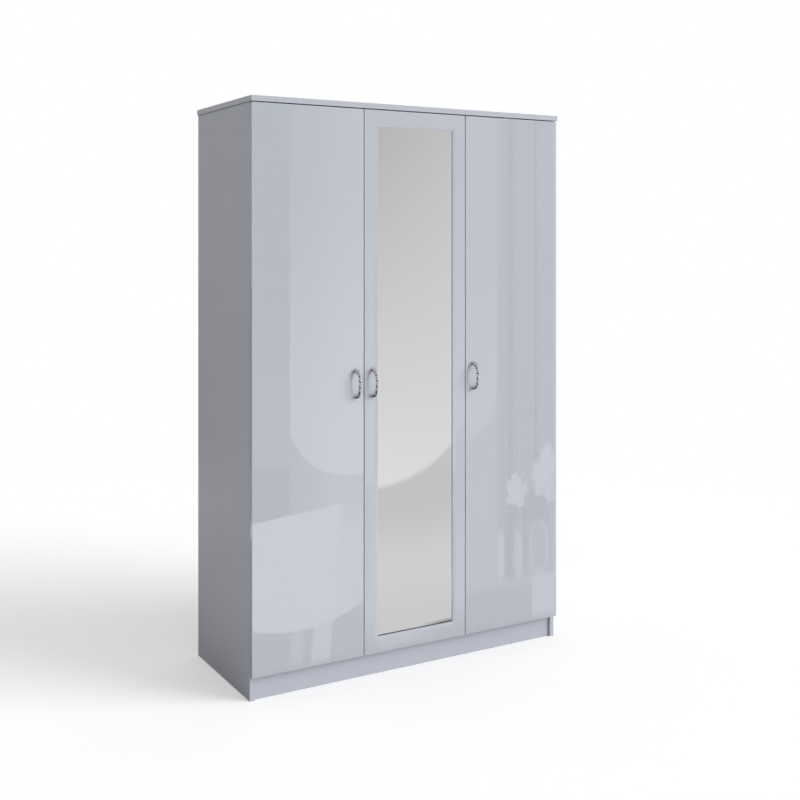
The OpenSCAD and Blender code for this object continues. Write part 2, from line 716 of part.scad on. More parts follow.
module left_door_panel() color(grey_gloss) into_place() difference() {
    door_slab(-side_x, left_free_x);
    cup_bores(LEFT);
    handle_bores(left_handle_x);
}
module right_door_panel() color(grey_gloss) into_place() difference() {
    door_slab(right_free_x, side_x);
    cup_bores(RIGHT);
    handle_bores(right_handle_x);
}

handle_screw_in = 8;
handle_head_h = 2.2;
module door_screws(door, handle_x) color(dark_steel) into_place() {
    at_hinges(door) at_cup_screws(door_gap + cup_screw_in) mirror([0, 0, 1])
        wood_screw(cup_screw_r, cup_screw_in + flange_t, screw_head_r, screw_head_h);
    at_handle_screws(handle_x) {
        cylinder(d = handle_screw_d, h = door_t + handle_screw_in);
        translate([0, 0, -handle_head_h]) cylinder(d = handle_screw_d * 2, h = handle_head_h);
    }
}
module left_door_screws() door_screws(LEFT, left_handle_x);
module mirror_door_screws() door_screws(MIRROR, mirror_handle_x);
module right_door_screws() door_screws(RIGHT, right_handle_x);

// ---- mirror door ----

open_l = mirror_l + stile_w;
open_r = mirror_r - stile_w;
open_b = door_bottom + rail_member_w;
open_t = door_end - rail_member_w;
rebate_y = door_face_y + mirror_recess;     // front face of the mirror
door_edge = 1;                              // chamfer along the frame's outer edges

// Section of a frame member: X from its outer edge inwards, Y the depth
module member_section(w) polygon([
    [0, -door_gap], [0, door_face_y + door_edge], [door_edge, door_face_y],
    [w - frame_bevel_w, door_face_y],
    [w, door_face_y + frame_bevel_drop], [w, rebate_y], [w - mirror_lap, rebate_y],
    [w - mirror_lap, -door_gap]
]);
// The wedge of the door that each member keeps, cut along the mitres
module mitre_wedge(outer, inner) translate([0, past, 0]) rotate([90, 0, 0])
    linear_extrude(door_gap + door_t + 2 * past) polygon([outer[0], outer[1], inner[1], inner[0]]);

module upright(x, s) translate([x, 0, door_bottom]) mirror([s < 0 ? 1 : 0, 0, 0])
    linear_extrude(door_h) member_section(stile_w);
module mirror_left_stile() color(grey_gloss) into_place() difference() {
    intersection() {
        upright(mirror_l, 1);
        mitre_wedge([[mirror_l, door_bottom], [mirror_l, door_end]], [[open_l, open_b], [open_l, open_t]]);
    }
    handle_bores(mirror_handle_x);
}
module mirror_right_stile() color(grey_gloss) into_place() difference() {
    intersection() {
        upright(mirror_r, -1);
        mitre_wedge([[mirror_r, door_bottom], [mirror_r, door_end]], [[open_r, open_b], [open_r, open_t]]);
    }
    cup_bores(MIRROR);
}
module crossbar(z, s) translate([mirror_l, 0, z]) mirror([0, 0, s < 0 ? 1 : 0])
    rotate([90, 0, 90]) linear_extrude(mirror_r - mirror_l) section_turned();
module section_turned() mirror([1, 0]) rotate([0, 0, 90]) member_section(rail_member_w);
module mirror_bottom_rail() color(grey_gloss) into_place() intersection() {
    crossbar(door_bottom, 1);
    mitre_wedge([[mirror_l, door_bottom], [mirror_r, door_bottom]], [[open_l, open_b], [open_r, open_b]]);
}
module mirror_top_rail() color(grey_gloss) into_place() intersection() {
    crossbar(door_end, -1);
    mitre_wedge([[mirror_l, door_end], [mirror_r, door_end]], [[open_l, open_t], [open_r, open_t]]);
}

glass_l = open_l - mirror_lap + mirror_gap;
glass_r = open_r + mirror_lap - mirror_gap;
glass_b = open_b - mirror_lap + mirror_gap;
glass_t = open_t + mirror_lap - mirror_gap;
module mirror_glass() color("#9aa0a6") into_place()
    box([glass_l, rebate_y, glass_b], [glass_r, rebate_y + mirror_t, glass_t]);
module mirror_backing() color(back_white) into_place()
    box([glass_l, rebate_y + mirror_t, glass_b], [glass_r, -door_gap, glass_t]);

// ---- handles ----

// The bow is an arc through the tops of the feet and the foremost point of the bar's middle line
bow_rise = handle_reach - handle_bar_d / 2 - handle_foot_h;
bow_r = (pow(handle_cc / 2, 2) + pow(bow_rise, 2)) / (2 * bow_rise);
bow_half = asin(handle_cc / 2 / bow_r);
handle_neck_h = 2;
handle_neck_d = handle_bar_d + 1;
module handle(x) color(steel) into_place() translate([x, door_face_y, handle_z]) difference() {
    union() {
        translate([0, -handle_foot_h - bow_rise + bow_r, 0]) rotate([0, 90, 0]) rotate([0, 0, -90 - bow_half])
            rotate_extrude(angle = 2 * bow_half, $fn = 96) translate([bow_r, 0]) circle(d = handle_bar_d);
        for (s = [-1, 1]) translate([0, 0, s * handle_cc / 2]) {
            rotate([90, 0, 0]) cylinder(d = handle_foot_d, h = handle_foot_h - handle_neck_h);
            rotate([90, 0, 0]) cylinder(d = handle_neck_d, h = handle_foot_h);
            translate([0, -handle_foot_h, 0]) sphere(d = handle_neck_d);
        }
    }
    for (s = [-1, 1]) translate([0, past, s * handle_cc / 2]) rotate([90, 0, 0])
        cylinder(d = handle_screw_d + 2 * press, h = handle_screw_in + hole_end + past);
}
module left_handle() handle(left_handle_x);
module mirror_handle() handle(mirror_handle_x);
module right_handle() handle(right_handle_x);

top_panel();
left_side_panel();
right_side_panel();
divider_panel();
base_panel();
plinth_board();
rear_plinth_rail();
wide_plinth_brace();
narrow_plinth_brace();
wide_back_sheet();
narrow_back_sheet();
hat_shelf();
linen_shelf_1();
linen_shelf_2();
linen_shelf_3();
linen_shelf_4();
hanging_rail();
rail_sockets();
rail_screws();
shelf_pins();
cam_locks();
cam_bolts();
dowels();
back_nails();
wall_brackets();
bracket_screws();
hinge_plates();
hinge_plate_screws();
hinge_arm_pins();
left_hinge_arms();
mirror_hinge_arms();
right_hinge_arms();
door_buffers();
left_outer_links();
mirror_outer_links();
right_outer_links();
left_inner_links();
mirror_inner_links();
right_inner_links();
left_door_panel();
left_hinge_cups();
left_cup_pins();
left_door_screws();
left_handle();
mirror_left_stile();
mirror_right_stile();
mirror_top_rail();
mirror_bottom_rail();
mirror_glass();
mirror_backing();
mirror_hinge_cups();
mirror_cup_pins();
mirror_door_screws();
mirror_handle();
right_door_panel();
right_hinge_cups();
right_cup_pins();
right_door_screws();
right_handle();
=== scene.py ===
"""Looks of a three-door wardrobe: gloss fronts, a mirror in a mitred frame, and twisted handles."""

import logging
import math
from dataclasses import asdict, dataclass, field, replace
from enum import Enum, IntEnum

import bpy
import numpy as np
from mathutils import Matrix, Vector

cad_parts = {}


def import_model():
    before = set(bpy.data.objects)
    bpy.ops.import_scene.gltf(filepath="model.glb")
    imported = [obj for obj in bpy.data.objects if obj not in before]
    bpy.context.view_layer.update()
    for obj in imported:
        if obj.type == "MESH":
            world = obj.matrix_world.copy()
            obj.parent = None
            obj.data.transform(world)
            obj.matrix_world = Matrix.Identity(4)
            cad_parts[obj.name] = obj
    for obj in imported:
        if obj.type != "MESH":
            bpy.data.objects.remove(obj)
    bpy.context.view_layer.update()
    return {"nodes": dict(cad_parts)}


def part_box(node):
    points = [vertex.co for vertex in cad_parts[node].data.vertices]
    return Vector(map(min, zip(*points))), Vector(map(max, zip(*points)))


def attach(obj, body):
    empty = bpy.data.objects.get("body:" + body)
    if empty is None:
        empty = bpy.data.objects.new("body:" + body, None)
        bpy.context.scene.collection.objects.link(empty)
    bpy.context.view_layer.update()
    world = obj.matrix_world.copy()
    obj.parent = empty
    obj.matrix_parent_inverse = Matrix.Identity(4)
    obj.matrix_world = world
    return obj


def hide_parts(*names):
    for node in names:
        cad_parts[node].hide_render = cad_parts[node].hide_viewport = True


LOG = logging.getLogger("wardrobe")
MM = 0.001
WELD = 1e-6
TINY = 1e-12
X_AXIS, Y_AXIS, Z_AXIS = 0, 1, 2
X_WAY, BACK, UP = np.eye(3)

Triple = tuple[float, float, float]
Spot = tuple[float, float]
Socket = bpy.types.NodeSocket
Sockets = bpy.types.bpy_prop_collection
Value = float | Socket


# ---- surfaces ----


def unit(vectors: np.ndarray) -> np.ndarray:
    """Each vector over its own length."""
    return vectors / np.maximum(np.linalg.norm(vectors, axis=-1, keepdims=True), TINY)


@dataclass
class Surface:
    """Collects numpy grids and flat faces with their normals, and makes one welded mesh object of them."""

    name: str
    points: list[np.ndarray] = field(default_factory=list)
    normals: list[np.ndarray] = field(default_factory=list)
    quads: list[np.ndarray] = field(default_factory=lambda: [np.zeros((0, 4), int)])
    quad_slots: list[np.ndarray] = field(default_factory=lambda: [np.zeros(0, int)])
    faces: list[tuple[np.ndarray, int]] = field(default_factory=list)
    count: int = 0

    def store(self, points: np.ndarray, normals: np.ndarray) -> int:
        """Keeps points and their normals.

        Args:
            points: Array that ends in three coordinates.
            normals: Array that broadcasts to the points.

        Returns:
            Index of the first point.
        """
        first = self.count
        self.points.append(points.reshape(-1, 3))
        self.normals.append(np.broadcast_to(normals, points.shape).reshape(-1, 3))
        self.count += len(self.points[-1])
        return first

    def grid(
        self, points: np.ndarray, normals: np.ndarray, closed: bool = False, slot: int | np.ndarray = 0
    ) -> None:
        """Adds the four-sided faces between neighbours of a grid of points.

        Args:
            points: Rows by columns by three.
            normals: Normals that broadcast to the points.
            closed: Joins the last column to the first.
            slot: Material slot, or one for each row of faces.
        """
        rows, columns = points.shape[:2]
        first = self.store(points, normals)
        i, j = np.meshgrid(np.arange(rows - 1), np.arange(columns if closed else columns - 1), indexing="ij")
        here, below, beside = i * columns, (i + 1) * columns, (j + 1) % columns
        quads = np.stack([here + j, below + j, below + beside, here + beside], -1)
        self.quads.append(quads.reshape(-1, 4) + first)
        self.quad_slots.append(np.broadcast_to(np.reshape(slot, (-1, 1)), i.shape).reshape(-1))

    def face(self, points: np.ndarray, normal: np.ndarray, slot: int = 0) -> None:
        """Adds one flat face, given by its corners in order, its normal and its material slot."""
        first = self.store(points, normal)
        self.faces.append((np.arange(len(points)) + first, slot))

    def build(self, materials: list[bpy.types.Material]) -> bpy.types.Object:
        """Welds equal points, turns every face outwards and makes the mesh.

        Equal neighbours in a four-sided face make it a triangle, and are dropped from a flat face.

        Args:
            materials: One material for each slot.

        Returns:
            The new object, which sits at the origin.
        """
        points, normals = np.concatenate(self.points), unit(np.concatenate(self.normals))
        snapped = np.round(points / WELD).astype(np.int64)
        _, kept, weld = np.unique(snapped, axis=0, return_index=True, return_inverse=True)
        weld = weld.reshape(-1)
        quads, quad_slots = np.concatenate(self.quads), np.concatenate(self.quad_slots)
        equal = weld[quads] == np.roll(weld[quads], -1, axis=1)
        whole, three = equal.sum(1) == 0, equal.sum(1) == 1
        triangles = quads[three][~equal[three]].reshape(-1, 3)
        groups = [(quads[whole], quad_slots[whole]), (triangles, quad_slots[three])]
        for face, slot in self.faces:
            groups.append((face[weld[face] != np.roll(weld[face], -1)][None], np.array([slot])))
        corners = [face for faces, _ in groups for face in self.outward(faces, points, normals).tolist()]
        slots = np.concatenate([slots for _, slots in groups])
        mesh = bpy.data.meshes.new(self.name)
        mesh.from_pydata(points[kept].tolist(), [], [weld[face].tolist() for face in corners])
        mesh.polygons.foreach_set("use_smooth", np.ones(len(corners), bool))
        mesh.polygons.foreach_set("material_index", slots.astype(np.int32))
        for material in materials:
            mesh.materials.append(material)
        mesh.normals_split_custom_set(normals[np.concatenate(corners)].tolist())
        mesh.update()
        piece = bpy.data.objects.new(self.name, mesh)
        bpy.context.scene.collection.objects.link(piece)
        return piece

    @staticmethod
    def outward(faces: np.ndarray, points: np.ndarray, normals: np.ndarray) -> np.ndarray:
        """Turns the faces whose winding goes against their normals.

        A face's own normal is the cross product of its diagonals, or the sum of its corners' cross products
        where it has more than four. It is turned where that points against the mean of its given normals.

        Args:
            faces: Faces of one kind, as indices.
            points: All points.
            normals: All normals.

        Returns:
            The faces, wound outwards.
        """
        if not len(faces):
            return faces
        corner = points[faces]
        span = faces.shape[1]
        if span <= 4:
            own = np.cross(corner[:, span // 2] - corner[:, 0], corner[:, -1] - corner[:, 1])
        else:
            own = np.cross(corner, np.roll(corner, -1, axis=1)).sum(1)
        against = (own * normals[faces].mean(1)).sum(1) < 0
        return np.where(against[:, None], faces[:, ::-1], faces)


@dataclass(frozen=True)
class Plane:
    """A face of a board: the axis it is square to, its level, and the way out of the board, 1 or -1."""

    axis: int
    level: float
    out: int

    @property
    def across(self) -> list[int]:
        """The two axes that lie in the face."""
        return [k for k in range(3) if k != self.axis]

    @property
    def normal(self) -> np.ndarray:
        """The way out of the board."""
        return np.eye(3)[self.axis] * self.out

    def at(self, a: np.ndarray, b: np.ndarray, depth: np.ndarray | float = 0.0) -> np.ndarray:
        """Points at two coordinates in the face and a depth into the board.

        Args:
            a: Coordinates along the first axis.
            b: Coordinates along the second axis.
            depth: How deep the points lie.

        Returns:
            Array that ends in three coordinates.
        """
        a, b, depth = np.broadcast_arrays(a, b, depth)
        points = np.empty(a.shape + (3,))
        points[..., self.across[0]] = a
        points[..., self.across[1]] = b
        points[..., self.axis] = self.level - self.out * depth
        return points


@dataclass(frozen=True)
class Hole:
    """A round hole in a face: its two coordinates, radius and depth."""

    a: float
    b: float
    radius: float
    depth: float


# Points on a hole's circle, and how far a band of a face reaches round a hole, in radii of the hole.
RING = 48
HOLE_ROOM = 1.12


def holed_face(surface: Surface, plane: Plane, low: Spot, high: Spot, holes: list[Hole], slot: int) -> None:
    """Fills a rectangle around its round holes, and adds the walls and floors of the holes.

    The rectangle is cut into bands across its second axis. A band with holes is cut halfway between them, and
    each cell is a grid of two rings: the hole's circle, and where the same rays meet the cell's sides.

    Args:
        surface: Takes the faces.
        plane: The face that is filled.
        low: Lowest corner of the rectangle.
        high: Highest corner of the rectangle.
        holes: The round holes.
        slot: Material slot.
    """
    bands: list[tuple[float, float, list[Hole]]] = []
    for hole in sorted(holes, key=lambda h: h.b):
        start, end = hole.b - HOLE_ROOM * hole.radius, hole.b + HOLE_ROOM * hole.radius
        if bands and start < bands[-1][1]:
            bands[-1] = (min(bands[-1][0], start), max(bands[-1][1], end), bands[-1][2] + [hole])
        else:
            bands.append((start, end, [hole]))
    level = low[1]
    for start, end, row in bands + [(high[1], high[1], [])]:
        start, end = max(start, low[1]), min(end, high[1])
        if start - level > WELD:
            corners = np.array([[low[0], level], [high[0], level], [high[0], start], [low[0], start]])
            surface.face(plane.at(corners[:, 0], corners[:, 1]), plane.normal, slot)
        level = end
        row = sorted(row, key=lambda h: h.a)
        cuts = [low[0]] + [(p.a + q.a) / 2 for p, q in zip(row, row[1:])] + [high[0]]
        for hole, left, right in zip(row, cuts, cuts[1:]):
            add_hole(surface, plane, hole, (left, start), (right, end), slot)


def add_hole(surface: Surface, plane: Plane, hole: Hole, low: Spot, high: Spot, slot: int) -> None:
    """Adds the cell around one hole, its wall and its floor.

    Args:
        surface: Takes the faces.
        plane: The face the hole is in.
        hole: The hole.
        low: Lowest corner of its cell.
        high: Highest corner of its cell.
        slot: Material slot.
    """
    corner = [math.atan2(b - hole.b, a - hole.a) for a in (low[0], high[0]) for b in (low[1], high[1])]
    angle = np.unique(np.concatenate([np.linspace(-math.pi, math.pi, RING, endpoint=False), corner]))
    c, s = np.cos(angle), np.sin(angle)
    with np.errstate(divide="ignore"):
        reach = np.minimum(
            np.where(c > 0, high[0] - hole.a, hole.a - low[0]) / np.abs(c),
            np.where(s > 0, high[1] - hole.b, hole.b - low[1]) / np.abs(s),
        )
    radius = np.stack([np.full_like(reach, hole.radius), reach])
    surface.grid(plane.at(hole.a + radius * c, hole.b + radius * s), plane.normal, closed=True, slot=slot)
    rim = (hole.a + hole.radius * c, hole.b + hole.radius * s)
    inward = plane.at(-c, -s)
    inward[..., plane.axis] = 0.0
    surface.grid(plane.at(*rim, np.array([[0.0], [hole.depth]])), inward[None], closed=True, slot=slot)
    surface.face(plane.at(*rim, hole.depth), plane.normal, slot)


@dataclass(frozen=True)
class Edges:
    """Rounding of a board along its low and high faces and at its four corners, and its rim's width."""

    low: float
    high: float
    corner: float
    rim: float = 0.0


# Points on each rounded edge and corner.
ARC_STEPS = 5


def slab(
    surface: Surface,
    low: np.ndarray,
    high: np.ndarray,
    axis: int,
    edges: Edges,
    slots: tuple[int, int | np.ndarray, int] = (0, 0, 0),
    holes: list[Hole] | None = None,
) -> None:
    """Adds a board with rounded edges.

    A profile of inset and depth, a quarter arc at each face, is carried round a rectangle with rounded
    corners. At an inset d the corner's centre lies max(corner, d) inside the board, and its radius is
    corner - d, or zero past that. The faces start at the rim.

    Args:
        surface: Takes the faces.
        low: Lowest corner of the board.
        high: Highest corner of the board.
        axis: Axis of its thickness.
        edges: Its rounding.
        slots: Material slots of the low face, the edge (one, or one for each of its steps) and the high face.
        holes: Holes in the high face.
    """
    faces = Plane(axis, low[axis], -1), Plane(axis, high[axis], 1)
    a, b = faces[0].across
    thickness = high[axis] - low[axis]
    turn = np.linspace(0, math.pi / 2, ARC_STEPS)
    rim = max(edges.rim, edges.low, edges.high)
    s, c = np.sin(turn), np.cos(turn)
    low_arc = np.stack([edges.low * (1 - s), edges.low * (1 - c), s, -c], 1)
    high_arc = np.stack([edges.high * (1 - c), thickness - edges.high * (1 - s), c, s], 1)
    rows = np.concatenate([[[rim, 0.0, 0.0, -1.0]], low_arc, high_arc, [[rim, thickness, 0.0, 1.0]]])
    inset, depth, outward, lift = (rows[:, k, None] for k in range(4))
    angle = (np.arange(4)[:, None] * math.pi / 2 + turn).reshape(1, -1)
    sign_a = np.repeat([1, -1, -1, 1], ARC_STEPS)[None]
    sign_b = np.repeat([1, 1, -1, -1], ARC_STEPS)[None]
    middle, half = (low + high) / 2, (high - low) / 2
    held, radius = np.maximum(edges.corner, inset), np.maximum(edges.corner - inset, 0.0)
    points = np.empty((len(rows), angle.shape[1], 3))
    points[..., a] = middle[a] + sign_a * (half[a] - held) + radius * np.cos(angle)
    points[..., b] = middle[b] + sign_b * (half[b] - held) + radius * np.sin(angle)
    points[..., axis] = low[axis] + depth
    normals = np.empty_like(points)
    normals[..., a], normals[..., b] = outward * np.cos(angle), outward * np.sin(angle)
    normals[..., axis] = lift
    surface.grid(points, normals, closed=True, slot=slots[1])
    inner_low, inner_high = (low[a] + rim, low[b] + rim), (high[a] - rim, high[b] - rim)
    holed_face(surface, faces[0], inner_low, inner_high, [], slots[0])
    holed_face(surface, faces[1], inner_low, inner_high, holes or [], slots[2])


@dataclass
class Outline:
    """A section: its points, their normals, and the shift that moves each point out by one."""

    points: np.ndarray
    normals: np.ndarray
    shifts: np.ndarray


def rounded_outline(corners: np.ndarray, radii: list[float]) -> Outline:
    """Section with rounded corners.

    Each corner becomes an arc tangent to its two sides, and a corner of no radius becomes two equal points
    with the normals of its two sides. The shift at such a pair is the sum of both normals over one plus their
    product.

    Args:
        corners: Corners in order.
        radii: One radius for each corner.

    Returns:
        The outline.
    """
    ahead = np.roll(corners, -1, axis=0)
    turn_sign = math.copysign(1.0, float(np.sum(corners[:, 0] * ahead[:, 1] - corners[:, 1] * ahead[:, 0])))
    side = unit(ahead - corners)
    normal = np.stack([side[:, 1], -side[:, 0]], 1) * turn_sign
    share = np.linspace(0, 1, ARC_STEPS)[:, None]
    points, normals, shifts = [], [], []
    for corner, radius, before, after, n0, n1 in zip(
        corners, radii, np.roll(side, 1, axis=0), side, np.roll(normal, 1, axis=0), normal
    ):
        if radius <= 0:
            points.append(np.stack([corner, corner]))
            normals.append(np.stack([n0, n1]))
            shifts.append(np.repeat([(n0 + n1) / (1 + n0 @ n1)], 2, axis=0))
            continue
        turn = math.acos(float(np.clip(before @ after, -1, 1)))
        convex = 1.0 if (n0 @ after) < 0 else -1.0
        arc = (np.sin((1 - share) * turn) * n0 + np.sin(share * turn) * n1) / math.sin(turn)
        centre = corner - before * radius * math.tan(turn / 2) - convex * n0 * radius
        points.append(centre + convex * radius * arc)
        normals.append(arc)
        shifts.append(arc)
    return Outline(np.concatenate(points), np.concatenate(normals), np.concatenate(shifts))


# Faces round a turned piece.
LATHE_FACES = 40


def lathe(surface: Surface, section: np.ndarray, base: np.ndarray, axis: np.ndarray) -> None:
    """Turns a section of radius and height round an axis.

    The normal at a point of the section is its direction turned by a right angle, carried round with it.

    Args:
        surface: Takes the faces.
        section: Rows of radius and height.
        base: Point on the axis at height zero.
        axis: Unit vector along the axis.
    """
    first = unit(np.cross(axis, np.eye(3)[int(np.argmin(np.abs(axis)))]))
    second = np.cross(axis, first)
    angle = np.linspace(0, 2 * math.pi, LATHE_FACES, endpoint=False)[:, None]
    ring = np.cos(angle) * first + np.sin(angle) * second
    way = unit(np.gradient(section, axis=0))
    points = base + section[:, 0, None, None] * ring + section[:, 1, None, None] * axis
    normals = way[:, 1, None, None] * ring - way[:, 0, None, None] * axis
    surface.grid(points, normals, closed=True)


# ---- finishes ----


@dataclass(frozen=True)
class Fade:
    """A smooth step: where it starts and ends, and the value before and after it."""

    start: float
    end: float
    before: float = 0.0
    after: float = 1.0


def fall(start: float, end: float) -> Fade:
    """A smooth step from one down to zero."""
    return Fade(start, end, 1.0, 0.0)


class Graph:
    """Short calls for building a node tree."""

    def __init__(self, tree: bpy.types.NodeTree) -> None:
        """Takes the tree that the nodes go into."""
        self.tree = tree

    def feed(self, node: bpy.types.Node, inputs: dict[int | str, object]) -> None:
        """Sets the inputs of a node.

        Args:
            node: The node.
            inputs: Socket names or numbers, each with a value or a socket to link.
        """
        for key, value in inputs.items():
            if isinstance(value, Socket):
                self.tree.links.new(value, node.inputs[key])
            else:
                node.inputs[key].default_value = value

    def node(
        self, kind: str, inputs: dict[int | str, object] | None = None, **settings: object
    ) -> bpy.types.Node:
        """Adds a node.

        Args:
            kind: Its type without the ShaderNode part.
            inputs: Socket names or numbers, each with a value or a socket to link.
            **settings: Attributes of the node.

        Returns:
            The node.
        """
        node = self.tree.nodes.new("ShaderNode" + kind)
        for key, value in settings.items():
            setattr(node, key, value)
        self.feed(node, inputs or {})
        return node

    def math(self, operation: str, a: Value, b: Value = 0.0, c: Value = 0.0) -> Socket:
        """Result of a Math node on up to three values or sockets."""
        return self.node("Math", {0: a, 1: b, 2: c}, operation=operation).outputs[0]

    def add(self, a: Value, b: Value) -> Socket:
        """Sum of two values."""
        return self.math("ADD", a, b)

    def minus(self, a: Value, b: Value) -> Socket:
        """Difference of two values."""
        return self.math("SUBTRACT", a, b)

    def times(self, a: Value, b: Value) -> Socket:
        """Product of two values."""
        return self.math("MULTIPLY", a, b)

    def times_plus(self, a: Value, b: Value, c: Value) -> Socket:
        """Product of two values, plus a third."""
        return self.math("MULTIPLY_ADD", a, b, c)

    def squares(self, a: Value, b: Value) -> Socket:
        """Sum of two squares."""
        return self.add(self.math("POWER", a, 2.0), self.math("POWER", b, 2.0))

    def lerp(self, share: Value, a: Value, b: Value) -> Socket:
        """Mix of two values."""
        return self.node("Mix", {0: share, 2: a, 3: b}, data_type="FLOAT").outputs[0]

    def ramp(self, value: Value, fade: Fade) -> Socket:
        """Smooth step of a value."""
        inputs = (value, fade.start, fade.end, fade.before, fade.after)
        return self.node("MapRange", dict(enumerate(inputs)), interpolation_type="SMOOTHSTEP").outputs[0]

    def blend(self, share: Value, a: object, b: object) -> Socket:
        """Mix of two colours."""
        return self.node("Mix", {0: share, 6: a, 7: b}, data_type="RGBA").outputs[2]

    def scale(self, colour: object, factor: Value) -> Socket:
        """Colour times a factor."""
        return self.node("VectorMath", {0: colour, "Scale": factor}, operation="SCALE").outputs[0]

    def place(self) -> Socket:
        """Object coordinates."""
        return self.node("TexCoord").outputs["Object"]

    def stretched(self, scale: Triple, turn: Triple = (0.0, 0.0, 0.0)) -> Socket:
        """Object coordinates, turned and scaled."""
        return self.node("Mapping", {"Vector": self.place(), "Rotation": turn, "Scale": scale}).outputs[0]

    def split(self, vector: Socket) -> Sockets:
        """The X, Y and Z of a vector."""
        return self.node("SeparateXYZ", {0: vector}).outputs

    def join(self, x: Value, y: Value, z: Value) -> Socket:
        """Vector of three values."""
        return self.node("CombineXYZ", {0: x, 1: y, 2: z}).outputs[0]

    def noise(self, point: object, scale: Value, detail: float = 2.0, roughness: float = 0.5) -> Socket:
        """Value of a noise texture."""
        inputs = {"Vector": point, "Scale": scale, "Detail": detail, "Roughness": roughness}
        return self.node("TexNoise", inputs).outputs["Fac"]


class GroupGraph(Graph):
    """A graph inside a new node group with named inputs and one output."""

    def __init__(self, name: str, inputs: dict[str, object], output: str, kind: str) -> None:
        """Makes the group.

        Args:
            name: Its name.
            inputs: Names with their starting values: a number, or a colour of four numbers.
            output: Name of the output.
            kind: Socket type of the output, without the NodeSocket part.
        """
        super().__init__(bpy.data.node_groups.new(name, "ShaderNodeTree"))
        for key, value in inputs.items():
            socket_type = "NodeSocketColor" if isinstance(value, tuple) else "NodeSocketFloat"
            socket = self.tree.interface.new_socket(name=key, in_out="INPUT", socket_type=socket_type)
            socket.default_value = value
        self.tree.interface.new_socket(name=output, in_out="OUTPUT", socket_type="NodeSocket" + kind)
        self.given = self.tree.nodes.new("NodeGroupInput").outputs

    def finish(self, value: Socket) -> bpy.types.NodeTree:
        """Puts a socket out of the group, and returns the group."""
        self.feed(self.tree.nodes.new("NodeGroupOutput"), {0: value})
        return self.tree


class Shared(Enum):
    """Effects that several finishes use, each one node group."""

    SOFT_TONE = "soft_tone"
    FILM_WAVES = "film_waves"
    HANDLING = "handling"


# The slow drift of a tone, and the stretched cloud that the wipes of a hand are cut from.
DRIFT_SCALE, DRIFT_DETAIL = 2.3, 3.0
WIPE_STRETCH, WIPE_TURN = (1.0, 1.0, 0.35), (0.3, 0.5, 0.2)
WIPE_DETAIL, WIPE_ROUGHNESS = 5.0, 0.62
WIPE_EDGE = Fade(0.45, 0.75)


def soft_tone_group() -> bpy.types.NodeTree:
    """Colour that wanders slowly over a board and speckles finely: base times one plus two centred noises.

    Returns:
        The node group.
    """
    inputs = {"Colour": (0.5, 0.5, 0.5, 1.0), "Drift": 0.03, "Speckle": 0.02, "Speckle Scale": 900.0}
    graph = GroupGraph(Shared.SOFT_TONE.value, inputs, "Colour", "Color")
    given, point = graph.given, graph.place()
    drift = graph.times(graph.minus(graph.noise(point, DRIFT_SCALE, DRIFT_DETAIL), 0.5), given["Drift"])
    grain = graph.times(graph.minus(graph.noise(point, given["Speckle Scale"]), 0.5), given["Speckle"])
    return graph.finish(graph.scale(given["Colour"], graph.add(graph.add(drift, grain), 1.0)))


def film_waves_group() -> bpy.types.NodeTree:
    """Height of the slight waves in a pressed film: a broad noise and a fine one, each with its own strength.

    Returns:
        The node group.
    """
    inputs = {"Broad": 1.0, "Fine": 0.2, "Broad Scale": 9.0, "Fine Scale": 160.0}
    graph = GroupGraph(Shared.FILM_WAVES.value, inputs, "Height", "Float")
    given, point = graph.given, graph.place()
    broad = graph.times(graph.noise(point, given["Broad Scale"], 1.0), given["Broad"])
    fine = graph.times(graph.noise(point, given["Fine Scale"]), given["Fine"])
    return graph.finish(graph.add(broad, fine))


def handling_group() -> bpy.types.NodeTree:
    """Roughness raised by faint wipes: stretched noise above a threshold adds to the base.

    Returns:
        The node group.
    """
    inputs = {"Roughness": 0.1, "Amount": 0.05, "Scale": 6.0}
    graph = GroupGraph(Shared.HANDLING.value, inputs, "Roughness", "Float")
    given = graph.given
    stretched = graph.stretched(WIPE_STRETCH, WIPE_TURN)
    cloud = graph.noise(stretched, given["Scale"], WIPE_DETAIL, WIPE_ROUGHNESS)
    wipes = graph.ramp(cloud, WIPE_EDGE)
    return graph.finish(graph.add(given["Roughness"], graph.times(wipes, given["Amount"])))


GROUP_MAKERS = {
    Shared.SOFT_TONE: soft_tone_group,
    Shared.FILM_WAVES: film_waves_group,
    Shared.HANDLING: handling_group,
}


